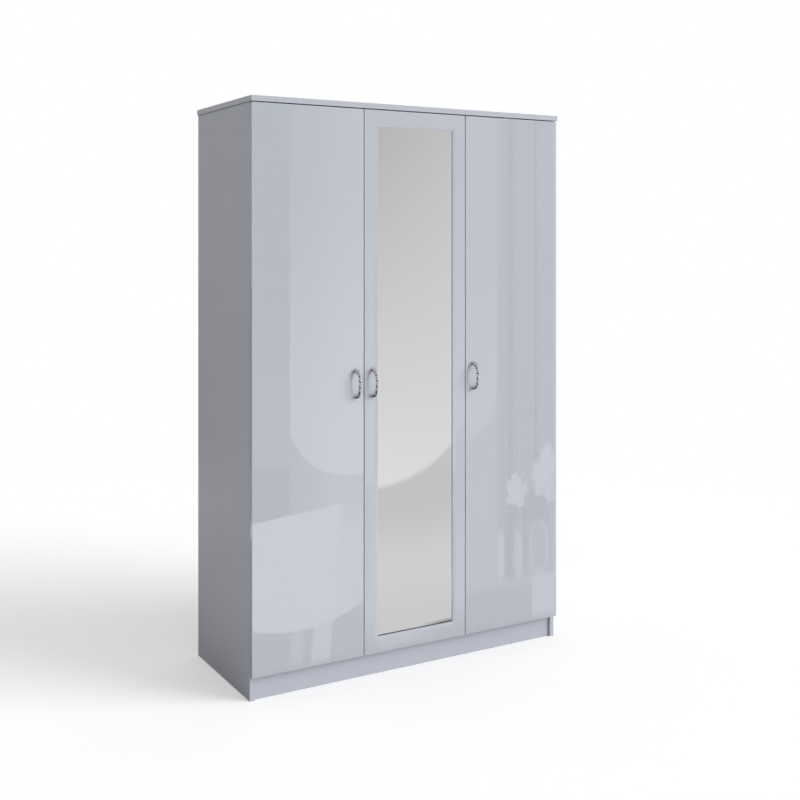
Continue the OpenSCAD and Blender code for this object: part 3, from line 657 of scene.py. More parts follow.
@dataclass(frozen=True)
class Finish:
    """What every finish has: a name, a colour, a roughness, and how far both vary over the surface."""

    name: str
    colour: Triple
    roughness: float
    drift: float = 0.03
    speckle: float = 0.02
    speckle_scale: float = 900.0
    wipes: float = 0.03
    wipe_scale: float = 6.0
    metallic: float = 0.0
    coat: float = 0.0
    coat_roughness: float = 0.03
    coat_ior: float = 1.5
    specular: float = 0.5
    broad: float = 0.0
    broad_scale: float = 9.0
    fine: float = 0.0
    fine_scale: float = 160.0
    bump_distance: float = 0.0005

    @staticmethod
    def shared(graph: Graph, kind: Shared, values: dict[str, object]) -> Socket:
        """Output of one of the shared groups with its inputs set; the group is built the first time."""
        tree = bpy.data.node_groups.get(kind.value) or GROUP_MAKERS[kind]()
        return graph.node("Group", values, node_tree=tree).outputs[0]

    def material(self) -> bpy.types.Material:
        """Builds the material, once.

        Returns:
            The material.
        """
        ready = bpy.data.materials.get(self.name)
        if ready:
            return ready
        material = bpy.data.materials.new(self.name)
        material.use_nodes = True
        material.diffuse_color = (*self.colour, 1.0)
        graph = Graph(material.node_tree)
        tone = {"Drift": self.drift, "Speckle": self.speckle, "Speckle Scale": self.speckle_scale}
        tone["Colour"] = (*self.colour, 1.0)
        wiped = {"Roughness": self.roughness, "Amount": self.wipes, "Scale": self.wipe_scale}
        sockets = {
            "Metallic": self.metallic,
            "Coat Weight": self.coat,
            "Coat Roughness": self.coat_roughness,
            "Coat IOR": self.coat_ior,
            "Specular IOR Level": self.specular,
            "Base Color": self.pattern(graph, self.shared(graph, Shared.SOFT_TONE, tone)),
            "Roughness": self.shared(graph, Shared.HANDLING, wiped),
        }
        if self.broad or self.fine:
            waves = {"Broad": self.broad, "Broad Scale": self.broad_scale}
            waves |= {"Fine": self.fine, "Fine Scale": self.fine_scale}
            height = self.shared(graph, Shared.FILM_WAVES, waves)
            bump = graph.node("Bump", {"Height": height, "Distance": self.bump_distance})
            sockets["Normal"] = bump.outputs[0]
        graph.feed(material.node_tree.nodes["Principled BSDF"], sockets)
        return material

    def pattern(self, graph: Graph, colour: Socket) -> Socket:
        """The colour that goes to the shader, with the finish's own pattern; a plain finish has none."""
        return colour


@dataclass(frozen=True)
class BandedBoard(Finish):
    """Melamine board whose front edge carries a lighter band, with painted shade, a dark line, along its top
    end under the top panel.
    """

    front: float = 0.0
    band: Triple = (0.5, 0.522, 0.58)
    glue: Triple = (0.2, 0.21, 0.24)
    band_depth: float = 0.8 * MM
    glue_depth: float = 0.35 * MM
    top: float = 0.0
    top_shade_tone: Triple = (0.03, 0.032, 0.036)
    top_shade_height: float = 1.6 * MM

    def pattern(self, graph: Graph, colour: Socket) -> Socket:
        """Band and glue line by depth behind the front edge, and the painted shade line along the top end by
        height.

        Args:
            graph: The material's graph.
            colour: The board's colour.

        Returns:
            The mixed colour.
        """
        point = graph.split(graph.place())
        depth = graph.minus(point["Y"], self.front)
        glued = graph.math("LESS_THAN", depth, self.band_depth + self.glue_depth)
        banded = graph.math("LESS_THAN", depth, self.band_depth)
        # Painted shade: the mask of the dark line along the top end, under the top panel.
        cut = graph.math("GREATER_THAN", point["Z"], self.top - self.top_shade_height)
        for share, tone in ((glued, self.glue), (banded, self.band), (cut, self.top_shade_tone)):
            colour = graph.blend(share, colour, (*tone, 1.0))
        return colour


@dataclass(frozen=True)
class Hardboard(Finish):
    """Thin hardboard: lacquered on the side that shows inside, brown fibres on the side to the wall."""

    rear_from: float = 0.0
    fibre: Triple = (0.33, 0.21, 0.12)
    darkened: float = 0.62
    fibre_stretch: Triple = (1.0, 1.0, 2.2)
    fibre_scale: float = 420.0
    fibre_roughness: float = 0.7
    fibre_edge: Fade = Fade(0.3, 0.7)
    cloud_scale: float = 6.0
    cloud_edge: Fade = Fade(0.3, 0.8, 0.0, 0.3)
    detail: float = 4.0

    def pattern(self, graph: Graph, colour: Socket) -> Socket:
        """Light and dark fibres under a broad cloud, shown behind a depth.

        Args:
            graph: The material's graph.
            colour: The lacquer's colour.

        Returns:
            The mixed colour.
        """
        stretched = graph.stretched(self.fibre_stretch)
        fibres = graph.noise(stretched, self.fibre_scale, self.detail, self.fibre_roughness)
        cloud = graph.noise(graph.place(), self.cloud_scale, self.detail)
        dark = (*(self.darkened * value for value in self.fibre), 1.0)
        brown = graph.blend(graph.ramp(fibres, self.fibre_edge), dark, (*self.fibre, 1.0))
        brown = graph.blend(graph.ramp(cloud, self.cloud_edge), brown, dark)
        behind = graph.math("GREATER_THAN", graph.split(graph.place())["Y"], self.rear_from)
        return graph.blend(behind, colour, brown)


@dataclass(frozen=True)
class Beech(Finish):
    """Plain beech with short dark flecks along the grain."""

    fleck: Triple = (0.33, 0.2, 0.1)
    fleck_stretch: Triple = (0.15, 1.0, 1.0)
    fleck_scale: float = 1400.0
    fleck_edge: Fade = Fade(0.58, 0.7, 0.0, 0.5)

    def pattern(self, graph: Graph, colour: Socket) -> Socket:
        """The wood's colour with flecks, a noise stretched along X."""
        flecks = graph.noise(graph.stretched(self.fleck_stretch), self.fleck_scale)
        return graph.blend(graph.ramp(flecks, self.fleck_edge), colour, (*self.fleck, 1.0))


@dataclass(frozen=True)
class CastChrome(Finish):
    """Chrome on a polished casting, with painted shade on the faces that look down."""

    # Painted shade: faces that look down are darkened to this share of the chrome's colour.
    underside_shade_level: float = 0.14
    underside_shade_fade: Fade = fall(-0.55, -0.12)

    def pattern(self, graph: Graph, colour: Socket) -> Socket:
        """Paints shade on the faces that look down.

        Args:
            graph: The material's graph.
            colour: The chrome's colour.

        Returns:
            The mixed colour.
        """
        up = graph.split(graph.node("NewGeometry").outputs["Normal"])["Z"]
        painted_shade_colour = (*(self.underside_shade_level * value for value in self.colour), 1.0)
        return graph.blend(graph.ramp(up, self.underside_shade_fade), colour, painted_shade_colour)


GLOSS = Finish(
    "gloss film", (0.485, 0.516, 0.573), 0.35, drift=0.008, speckle=0.004, wipes=0.04,
    coat=1.0, coat_roughness=0.0, coat_ior=1.9, specular=0.15,
    broad=0.2, broad_scale=4.0, fine=0.004, fine_scale=220.0, bump_distance=0.0002,
)
# Painted highlight: a lighter copy of the gloss film for the rounded front arcs.
GLOSS_EDGE_HIGHLIGHT = replace(GLOSS, name="gloss painted edge highlight", colour=(0.592, 0.63, 0.699))
REAR_FILM = Finish(
    "rear melamine", (0.52, 0.545, 0.59), 0.42, fine=0.6, fine_scale=700.0, bump_distance=0.0001,
)
SATIN = Finish(
    "satin melamine", (0.455, 0.478, 0.535), 0.38, drift=0.02, speckle=0.03, speckle_scale=1100.0, wipes=0.05,
    fine=0.8, fine_scale=650.0, bump_distance=0.00012,
)
# Painted light: a lighter copy of the satin melamine, which offsets the shade under the doors on the plinth.
PLINTH_LIT_SATIN = replace(SATIN, name="plinth satin painted lighter", colour=(0.5, 0.525, 0.588))
BAND = Finish("edge band", (0.475, 0.498, 0.553), 0.3, drift=0.01, speckle=0.01, fine=0.4, fine_scale=300.0)
CHROME = CastChrome(
    "polished chrome", (0.76, 0.75, 0.735), 0.05, drift=0.04, speckle=0.02, wipes=0.07, wipe_scale=60.0,
    metallic=1.0, fine=0.04, fine_scale=240.0, bump_distance=0.0002,
)
RAIL_CHROME = Finish(
    "chromed tube", (0.7, 0.71, 0.73), 0.12, drift=0.04, speckle=0.02, wipes=0.1, wipe_scale=18.0,
    metallic=1.0,
)
NICKEL = Finish(
    "nickel plating", (0.62, 0.61, 0.58), 0.24, drift=0.05, speckle=0.08, speckle_scale=2600.0, wipes=0.14,
    wipe_scale=50.0, metallic=1.0, fine=0.5, fine_scale=1500.0, bump_distance=0.00006,
)
ZINC = Finish(
    "bright zinc", (0.6, 0.61, 0.63), 0.3, drift=0.08, speckle=0.12, speckle_scale=2200.0, wipes=0.16,
    wipe_scale=120.0, metallic=1.0, fine=0.6, fine_scale=1200.0, bump_distance=0.00008,
)
CAST_ZINC = Finish(
    "die-cast zinc", (0.42, 0.42, 0.43), 0.45, drift=0.1, speckle=0.2, speckle_scale=1800.0, wipes=0.12,
    wipe_scale=90.0, metallic=1.0, fine=1.0, fine_scale=900.0, bump_distance=0.00015,
)
SILVER = Finish(
    "silvered glass", (0.868, 0.866, 0.868), 0.0, drift=0.004, speckle=0.0, wipes=0.008, metallic=1.0,
)
BACKING = Finish(
    "mirror backing", (0.6, 0.6, 0.58), 0.6, drift=0.04, speckle=0.05, fine=0.6, fine_scale=400.0,
)
RUBBER = Finish(
    "clear buffer", (0.66, 0.66, 0.64), 0.35, drift=0.03, speckle=0.05, fine=0.3, fine_scale=600.0,
)
# Painted shade: the dark finish of the strip at the mirror's foot.
SHADE_STRIP_FINISH = Finish(
    "dark shade strip", (0.16, 0.16, 0.165), 0.9, drift=0.1, speckle=0.3, specular=0.1, fine=1.0, fine_scale=1800.0,
)
BEECH = Beech("plain beech", (0.6, 0.43, 0.26), 0.6)


# ---- the wardrobe ----


def corners_of(node: str) -> tuple[np.ndarray, np.ndarray]:
    """Lowest and highest corner of a node at rest."""
    low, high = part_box(node)
    return np.array(low, float), np.array(high, float)


def place(piece: bpy.types.Object, body: str, slot: str, *nodes: str) -> None:
    """Sets a piece on its body, and hides the nodes it stands for.

    Args:
        piece: The new piece.
        body: The body it rides on.
        slot: The record's material slot; not used.
        *nodes: Nodes that it replaces.
    """
    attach(piece, body)
    if nodes:
        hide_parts(*nodes)
    LOG.info("%s rides on %s", piece.name, body)


class Hand(Enum):
    """The three doors, with the sign of the way from the hinge edge into the door."""

    LEFT = ("left", 1)
    MIRROR = ("mirror", -1)
    RIGHT = ("right", -1)

    @property
    def word(self) -> str:
        """The door's name in node names."""
        return self.value[0]

    @property
    def inward(self) -> int:
        """1 where the door reaches to +X from its hinge edge."""
        return self.value[1]

    @property
    def body(self) -> str:
        """The door's body."""
        return f"{self.word}_door"


class DoorSlot(IntEnum):
    """Material slots of a gloss piece."""

    FRONT = 0
    REAR = 1
    # Slot of the painted highlight on the rounded front arcs.
    EDGE = 2


def door_materials() -> list[bpy.types.Material]:
    """Materials of a gloss piece, in the order of its slots."""
    return [GLOSS.material(), REAR_FILM.material(), GLOSS_EDGE_HIGHLIGHT.material()]


@dataclass(frozen=True)
class CupPlaces:
    """Where the hinge cups sit in a door."""

    radius: float = 17.55 * MM
    depth: float = 11.56 * MM
    edge: float = 21.5 * MM
    end: float = 100.0 * MM
    count: int = 4

    def holes(self, hand: Hand, low: np.ndarray, high: np.ndarray) -> list[Hole]:
        """The cup holes of one door.

        Args:
            hand: Which door.
            low: Lowest corner of the door.
            high: Highest corner of the door.

        Returns:
            Holes in the X and Z of the door's rear face.
        """
        hinge_x = low[X_AXIS] if hand.inward > 0 else high[X_AXIS]
        levels = np.linspace(low[Z_AXIS] + self.end, high[Z_AXIS] - self.end, self.count)
        return [Hole(hinge_x + hand.inward * self.edge, float(z), self.radius, self.depth) for z in levels]


@dataclass
class PlainDoor:
    """A gloss door: one board with a rounded front edge and four cup holes in its rear face."""

    hand: Hand
    front_radius: float = 1.8 * MM
    rear_radius: float = 0.5 * MM
    corner_radius: float = 1.0 * MM

    def build(self) -> None:
        """Makes the door's board, with a painted highlight, a lighter colour, on the arc round its front."""
        node = f"{self.hand.word}_door_panel"
        low, high = corners_of(node)
        surface = Surface(f"{self.hand.word}_gloss_door")
        edges = Edges(self.front_radius, self.rear_radius, self.corner_radius)
        edge_slots = np.full(2 * ARC_STEPS + 1, DoorSlot.FRONT)
        edge_slots[1:ARC_STEPS] = DoorSlot.EDGE
        slots = (DoorSlot.FRONT, edge_slots, DoorSlot.REAR)
        slab(surface, low, high, Y_AXIS, edges, slots, CupPlaces().holes(self.hand, low, high))
        place(surface.build(door_materials()), self.hand.body, "gloss_front", node)


@dataclass(frozen=True)
class FrameSide:
    """One side of the frame: its first outer front corner, the ways across and along it, and its sizes.

    The slope is the run of its mitres for each unit across.
    """

    word: str
    origin: np.ndarray
    inward: np.ndarray
    along: np.ndarray
    length: float
    width: float
    slope: float
    holes: list[Hole]

    def turned(self, pairs: np.ndarray) -> np.ndarray:
        """Directions given across the side and into the door."""
        return pairs @ np.stack([self.inward, BACK])

    def at(self, pairs: np.ndarray, run: np.ndarray) -> np.ndarray:
        """Points given across the side, into the door and along the side."""
        return self.origin + self.turned(pairs) + run[:, None] * self.along

    def run(self, across: np.ndarray, gap: float, end: int) -> np.ndarray:
        """Where a mitre cuts: slope * across + gap from the first end, or as far from the last end."""
        start = self.slope * across + gap
        return self.length - start if end else start


@dataclass
class MirrorFrame:
    """The frame of the mirror door: four mitred members with a sloped inner band, and a rebate behind."""

    recess: float = 6.0 * MM
    lap: float = 8.0 * MM
    band_width: float = 12.0 * MM
    band_fall: float = 1.4 * MM
    outer_radius: float = 1.8 * MM
    crease_radius: float = 6.0 * MM
    inner_radius: float = 1.6 * MM
    rear_radius: float = 0.5 * MM
    mitre_drop: float = 0.22 * MM
    mitre_width: float = 0.3 * MM

    def section(self, width: float, thickness: float) -> Outline:
        """Section of a member: across from its outer edge, and depth from its face.

        Args:
            width: Width of the member.
            thickness: Thickness of the door.

        Returns:
            The outline, which starts and ends at the rear face.
        """
        corners = [
            [0, thickness],
            [0, 0],
            [width - self.band_width, 0],
            [width, self.band_fall],
            [width, self.recess],
            [width - self.lap, self.recess],
            [width - self.lap, thickness],
        ]
        radii = [self.rear_radius, self.outer_radius, self.crease_radius, self.inner_radius, 0, 0, 0]
        return rounded_outline(np.array(corners), radii)

    def member(self, side: FrameSide, thickness: float) -> None:
        """Carries the section along one side of the frame, with its ends cut on the mitres.

        A point of the section at a distance x from the outer edge runs from slope * x to length - slope * x.
        At both ends a last row is drawn in by the mitre's drop, which leaves the fine groove of a glued
        mitre. The outer and inner arcs carry a painted highlight, a lighter colour.

        Args:
            side: The side.
            thickness: Thickness of the door.
        """
        outline = self.section(side.width, thickness)
        surface = Surface(f"frame_{side.word}")
        groove, inside = (0.0, self.mitre_drop), (self.mitre_width, 0.0)
        points, normals = [], []
        for end, (gap, drop) in ((0, groove), (0, inside), (1, inside), (1, groove)):
            run = side.run(outline.points[:, 0], gap, end)
            points.append(side.at(outline.points - drop * outline.shifts, run))
            lean = (side.along if end else -side.along) * (1.0 if drop else 0.0)
            normals.append(side.turned(outline.normals) + lean)
        slots = np.full(len(outline.points) - 1, DoorSlot.FRONT)
        slots[ARC_STEPS - 1 : 2 * ARC_STEPS - 1] = DoorSlot.EDGE
        slots[3 * ARC_STEPS : 4 * ARC_STEPS - 1] = DoorSlot.EDGE
        surface.grid(np.stack(points, 1), np.stack(normals, 1), slot=slots)
        surface.face(points[0], -side.along, DoorSlot.FRONT)
        surface.face(points[-1], side.along, DoorSlot.FRONT)
        self.rear(surface, side, outline.points[[0, -1]])
        place(surface.build(door_materials()), Hand.MIRROR.body, "gloss_front", f"mirror_{side.word}")

    def rear(self, surface: Surface, side: FrameSide, ends: np.ndarray) -> None:
        """Fills the flat rear face: two mitred ends, and a rectangle between them that takes the holes.

        Args:
            surface: Takes the faces.
            side: The side.
            ends: First and last point of the section, both on the rear face.
        """
        near, far = ends
        trim = side.slope * far[0] + self.mitre_width
        for end in (0, 1):
            run = side.run(np.array([near[0], far[0], far[0], far[0]]), self.mitre_width, end)
            surface.face(side.at(np.stack([near, far, far, near]), run), BACK, DoorSlot.REAR)
        corners = side.at(ends, np.array([trim, side.length - trim]))
        low, high = corners.min(0), corners.max(0)
        plane = Plane(Y_AXIS, low[Y_AXIS], 1)
        holed_face(surface, plane, (low[0], low[2]), (high[0], high[2]), side.holes, DoorSlot.REAR)

    def build(self) -> None:
        """Makes the four members."""
        low, stile_high = corners_of("mirror_left_stile")
        high = corners_of("mirror_right_stile")[1]
        rail_low, rail_high = corners_of("mirror_bottom_rail")
        stile = stile_high[X_AXIS] - low[X_AXIS]
        rail = rail_high[Z_AXIS] - rail_low[Z_AXIS]
        width, thickness, height = high - low
        lower_left = low
        lower_right = low + width * X_WAY
        upper_left = low + height * UP
        cups = CupPlaces().holes(Hand.MIRROR, low, high)
        for side in (
            FrameSide("left_stile", lower_left, X_WAY, UP, height, stile, rail / stile, []),
            FrameSide("right_stile", lower_right, -X_WAY, UP, height, stile, rail / stile, cups),
            FrameSide("bottom_rail", lower_left, UP, X_WAY, width, rail, stile / rail, []),
            FrameSide("top_rail", upper_left, -UP, X_WAY, width, rail, stile / rail, []),
        ):
            self.member(side, thickness)


@dataclass
class MirrorPane:
    """The mirror: a silvered pane with a fine ground edge, and a dark strip of painted shade along its foot.
    """

    edge: float = 0.6 * MM
    forward: float = 1.2 * MM
    lap: float = 8.0 * MM
    strip_height: float = 1.4 * MM
    strip_reach: float = 3.6 * MM
    strip_edges: Edges = Edges(0.1 * MM, 0.5 * MM, 0.3 * MM)

    def build(self) -> None:
        """Makes the pane and its strip."""
        low, high = corners_of("mirror_glass")
        low = low - self.forward * BACK
        surface = Surface("mirror_pane")
        slab(surface, low, high, Y_AXIS, Edges(self.edge, self.edge, self.edge), (0, 0, 1))
        piece = surface.build([SILVER.material(), BACKING.material()])
        place(piece, Hand.MIRROR.body, "mirror", "mirror_glass")
        self.strip(low, high)

    def strip(self, low: np.ndarray, high: np.ndarray) -> None:
        """Lays the dark strip, painted shade, along the foot of the opening, in front of the pane.

        Args:
            low: Lowest corner of the pane.
            high: Highest corner of the pane.
        """
        foot = low[Z_AXIS] + self.lap
        strip_low = np.array([low[X_AXIS] + self.lap, low[Y_AXIS] - self.strip_reach, foot])
        strip_high = np.array([high[X_AXIS] - self.lap, low[Y_AXIS], foot + self.strip_height])
        surface = Surface("pane_shade_strip")
        slab(surface, strip_low, strip_high, Z_AXIS, self.strip_edges)
        place(surface.build([SHADE_STRIP_FINISH.material()]), Hand.MIRROR.body, "back_sheet")


@dataclass
class TwistedHandle:
    """A bow handle: two turned feet and a square bar, twisted along the bow."""

    hand: Hand
    spacing: float = 86.0 * MM
    reach: float = 35.0 * MM
    half_bar: float = 3.8 * MM
    half_end: float = 5.9 * MM
    sunk: float = 3.0 * MM
    turns: float = 1.15
    bow_power: float = 2.1
    bar_power: float = 6.0
    end_power: float = 2.6
    plain_from: float = 0.60
    plain_over: float = 0.14
    foot_radius: float = 6.2 * MM
    foot_height: float = 6.0 * MM
    foot_chamfer: float = 0.2 * MM
    disc_side: float = 1.6 * MM
    disc_edge: float = 0.8 * MM
    collar_inset: float = 1.1 * MM
    collar_from: float = 2.6 * MM
    collar_edge: float = 0.6 * MM
    samples: int = 4001
    rows: int = 170
    columns: int = 56
    foot_steps: int = 6

    def bow(self, rise: float) -> tuple[np.ndarray, np.ndarray]:
        """Middle line of the bar, in even steps.

        The bow is half a superellipse: height = h * cos(t)^(2/n) and depth = rise * sin(t)^(2/n), with n the
        power. It is read again at equal lengths along itself.

        Args:
            rise: How far the middle stands off its ends.

        Returns:
            Depth and height of each row, and the unit tangent there.
        """
        t = np.linspace(0, math.pi, self.samples)
        share = 2 / self.bow_power
        height = self.spacing / 2 * np.sign(np.cos(t)) * np.abs(np.cos(t)) ** share
        depth = rise * np.abs(np.sin(t)) ** share
        line = np.stack([depth, height], 1)
        length = np.concatenate([[0], np.cumsum(np.linalg.norm(np.diff(line, axis=0), axis=1))])
        even = np.linspace(0, length[-1], self.rows)
        line = np.stack([np.interp(even, length, line[:, k]) for k in (0, 1)], 1)
        return line, unit(np.gradient(line, axis=0))

    def bar(self, middle: np.ndarray) -> tuple[np.ndarray, np.ndarray]:
        """Surface of the bar.

        The section is a superellipse, half / (|cos|^p + |sin|^p)^(1/p). Along the twist its exponent p is
        high, which makes it nearly square, and on the thicker plain ends it falls, which makes it nearly
        round. The twist turns evenly along the bow and fades out on the plain ends.

        Args:
            middle: Point on the door between the feet.

        Returns:
            Rows by columns of points, and their normals.
        """
        line, tangent = self.bow(self.reach - self.half_bar - self.sunk)
        centre = middle - (self.sunk + line[:, :1]) * BACK + line[:, 1:] * UP
        outward = tangent[:, 1:] * BACK + tangent[:, :1] * UP
        along = np.linspace(-1, 1, self.rows)[:, None]
        plain = np.clip((np.abs(along) - self.plain_from) / self.plain_over, 0, 1)
        plain = plain * plain * (3 - 2 * plain)
        power = self.bar_power + (self.end_power - self.bar_power) * plain
        half = self.half_bar + (self.half_end - self.half_bar) * plain
        rate = 1 - plain[:, 0]
        turned = np.concatenate([[0], np.cumsum((rate[1:] + rate[:-1]) / 2)])
        turned = (turned / turned[-1] - 0.5) * 2 * math.pi * self.turns
        phi = np.linspace(0, 2 * math.pi, self.columns, endpoint=False)[None]
        spun = phi - turned[:, None]
        reach = half / (np.abs(np.cos(spun)) ** power + np.abs(np.sin(spun)) ** power) ** (1 / power)
        off = (reach * np.cos(phi))[..., None] * outward[:, None] + (reach * np.sin(phi))[..., None] * X_WAY
        points = centre[:, None] + off
        around = np.roll(points, -1, axis=1) - np.roll(points, 1, axis=1)
        normals = unit(np.cross(around, np.gradient(points, axis=0)))
        return points, normals if np.sum(normals * off) > 0 else -normals

    def foot(self, surface: Surface, base: np.ndarray) -> None:
        """Turns one foot: a disc with a rounded edge, and a collar that the bar grows out of.

        Args:
            surface: Takes the faces.
            base: Middle of the foot on the door.
        """
        turn = np.linspace(0, math.pi / 2, self.foot_steps)
        quarter = np.stack([np.cos(turn) - 1, np.sin(turn)], 1)
        radius, chamfer = self.foot_radius, self.foot_chamfer
        collar, shoulder = radius - self.collar_inset, self.foot_height - self.collar_edge
        section = np.concatenate([
            [[0, 0], [radius - chamfer, 0], [radius, chamfer]],
            [radius, self.disc_side] + self.disc_edge * quarter,
            [[collar, self.collar_from], [collar, shoulder]],
            [collar, shoulder] + self.collar_edge * quarter[1:],
            [[0, self.foot_height]],
        ])
        lathe(surface, section, base, -BACK)

    def build(self) -> None:
        """Makes the handle: the bar with its two ends closed in the door, and the feet."""
        node = f"{self.hand.word}_handle"
        low, high = corners_of(node)
        middle = (low + high) / 2
        middle[Y_AXIS] = high[Y_AXIS]
        surface = Surface(f"{self.hand.word}_twisted_handle")
        points, normals = self.bar(middle)
        surface.grid(points, normals, closed=True)
        for row in (0, -1):
            surface.face(points[row], BACK)
        for way in (-1, 1):
            self.foot(surface, middle + way * self.spacing / 2 * UP)
        place(surface.build([CHROME.material()]), self.hand.body, "handle_chrome", node)


@dataclass
class BandedBoards:
    """Boards of the carcass whose edges show: a film on the faces and a band round the edges."""

    edge: float = 0.7 * MM
    rim: float = 1.2 * MM

    def build(self) -> None:
        """Makes the boards: top, plinth and the four linen shelves."""
        edges = Edges(self.edge, self.edge, self.edge, self.rim)
        boards = {"top_panel": (Z_AXIS, SATIN), "plinth_board": (Y_AXIS, PLINTH_LIT_SATIN)}
        boards |= {f"linen_shelf_{count}": (Z_AXIS, SATIN) for count in (1, 2, 3, 4)}
        for node, (axis, film) in boards.items():
            surface = Surface(f"banded_{node}")
            slab(surface, *corners_of(node), axis, edges, (0, 1, 0))
            place(surface.build([film.material(), BAND.material()]), "carcass", "satin_board", node)


@dataclass
class CarriedNodes:
    """Nodes whose CAD shape is right: each gets its finish."""

    nodes: dict[str, bpy.types.Object]

    def build(self) -> None:
        """Dresses the nodes."""
        side_low, side_high = corners_of("left_side_panel")
        rear_low, rear_high = corners_of("wide_back_sheet")
        banded = BandedBoard(
            **asdict(replace(SATIN, name="banded melamine")),
            front=float(side_low[Y_AXIS]), top=float(side_high[Z_AXIS]),
        )
        hardboard = Hardboard(
            "hardboard", (0.74, 0.73, 0.7), 0.42, fine=0.5, fine_scale=500.0, bump_distance=0.00015,
            rear_from=float((rear_low[Y_AXIS] + rear_high[Y_AXIS]) / 2),
        )
        hinge_parts = ("hinge_arms", "outer_links", "inner_links", "hinge_cups", "cup_pins")
        finishes = {
            banded: ["left_side_panel", "right_side_panel", "divider_panel", "base_panel"],
            SATIN: ["rear_plinth_rail", "wide_plinth_brace", "narrow_plinth_brace", "hat_shelf"],
            hardboard: ["wide_back_sheet", "narrow_back_sheet"],
            BACKING: ["mirror_backing"],
            RAIL_CHROME: ["hanging_rail", "rail_sockets", "shelf_pins"],
            CAST_ZINC: ["cam_locks"],
            ZINC: [
                "cam_bolts", "back_nails", "rail_screws", "bracket_screws", "hinge_plate_screws",
                *(f"{hand.word}_door_screws" for hand in Hand),
            ],
            NICKEL: [
                "wall_brackets", "hinge_plates", "hinge_arm_pins",
                *(f"{hand.word}_{part}" for hand in Hand for part in hinge_parts),
            ],
            RUBBER: ["door_buffers"],
            BEECH: ["dowels"],
        }
        for finish, nodes in finishes.items():
            for node in nodes:
                self.dress(node, finish)

    def dress(self, node: str, finish: Finish) -> None:
        """Gives a node its finish.

        Args:
            node: Its name.
            finish: Its finish.
        """
        materials = self.nodes[node].data.materials
        materials.clear()
        materials.append(finish.material())
        LOG.info("%s carries %s", node, finish.name)


# ---- the room in the reflections ----


@dataclass(frozen=True)
class Viewpoint:
    """Where the front is looked at from; the room's reflection is laid out for it."""

    x: float = -1.9763
    y: float = -3.5118
    z: float = 1.441
    turn: float = -30.182
    lens: float = 51.033
    shift: float = -0.1976


@dataclass(frozen=True)
class Curve:
    """A curve that hangs as the lower half of a circle: its centre, its radius and the width of its edge."""

    u: float
    w: float
    radius: float
    soft: float


@dataclass(frozen=True)
class Blob:
    """A soft oval: its middle, its half sizes, its level, and how much noise frays it."""

    u: float
    w: float
    half_u: float
    half_w: float
    level: float
    fray: float


@dataclass(frozen=True)
class Fold:
    """A dark line down the curtain: its place, its half width and how much darker it is."""

    u: float
    half: float
    drop: float


@dataclass(frozen=True)
class LegGap:
    """A pale gap between the chair's legs: its two sides, their lean and its level."""

    left: float
    right: float
    lean: float
    level: float


class RoomGraph(GroupGraph):
    """The room's node group, with the place on the front where a point of the room shows: u across and w up.

    A point P of the room shows in the front at D = M + (P - M) * s, where M is the viewpoint mirrored in the
    plane of the front and s is the front's share of the way.
    """

    def __init__(self, name: str, view: Viewpoint, front: float) -> None:
        """Makes the group and works out u and w.

        Args:
            name: Its name.
            view: The viewpoint.
            front: Y of the front.
        """
        super().__init__(name, {}, "Brightness", "Float")
        point = self.split(self.place())
        far = 2 * front - view.y
        share = self.math("DIVIDE", far - front, self.minus(far, point["Y"]))
        self.u = self.times_plus(self.minus(point["X"], view.x), share, view.x)
        self.w = self.times_plus(self.minus(point["Z"], view.z), share, view.z)

    def across(self, fade: Fade) -> Socket:
        """Smooth step of the place across."""
        return self.ramp(self.u, fade)

    def up(self, fade: Fade) -> Socket:
        """Smooth step of the place up."""
        return self.ramp(self.w, fade)

    def above(self, curve: Curve) -> Socket:
        """1 above a hanging curve, and 0 below it.

        Args:
            curve: The curve.

        Returns:
            The mask.
        """
        down = self.math("MINIMUM", self.minus(self.w, curve.w), 0.0)
        reach = self.math("SQRT", self.squares(self.minus(self.u, curve.u), down))
        return self.ramp(reach, fall(curve.radius - curve.soft, curve.radius + curve.soft))


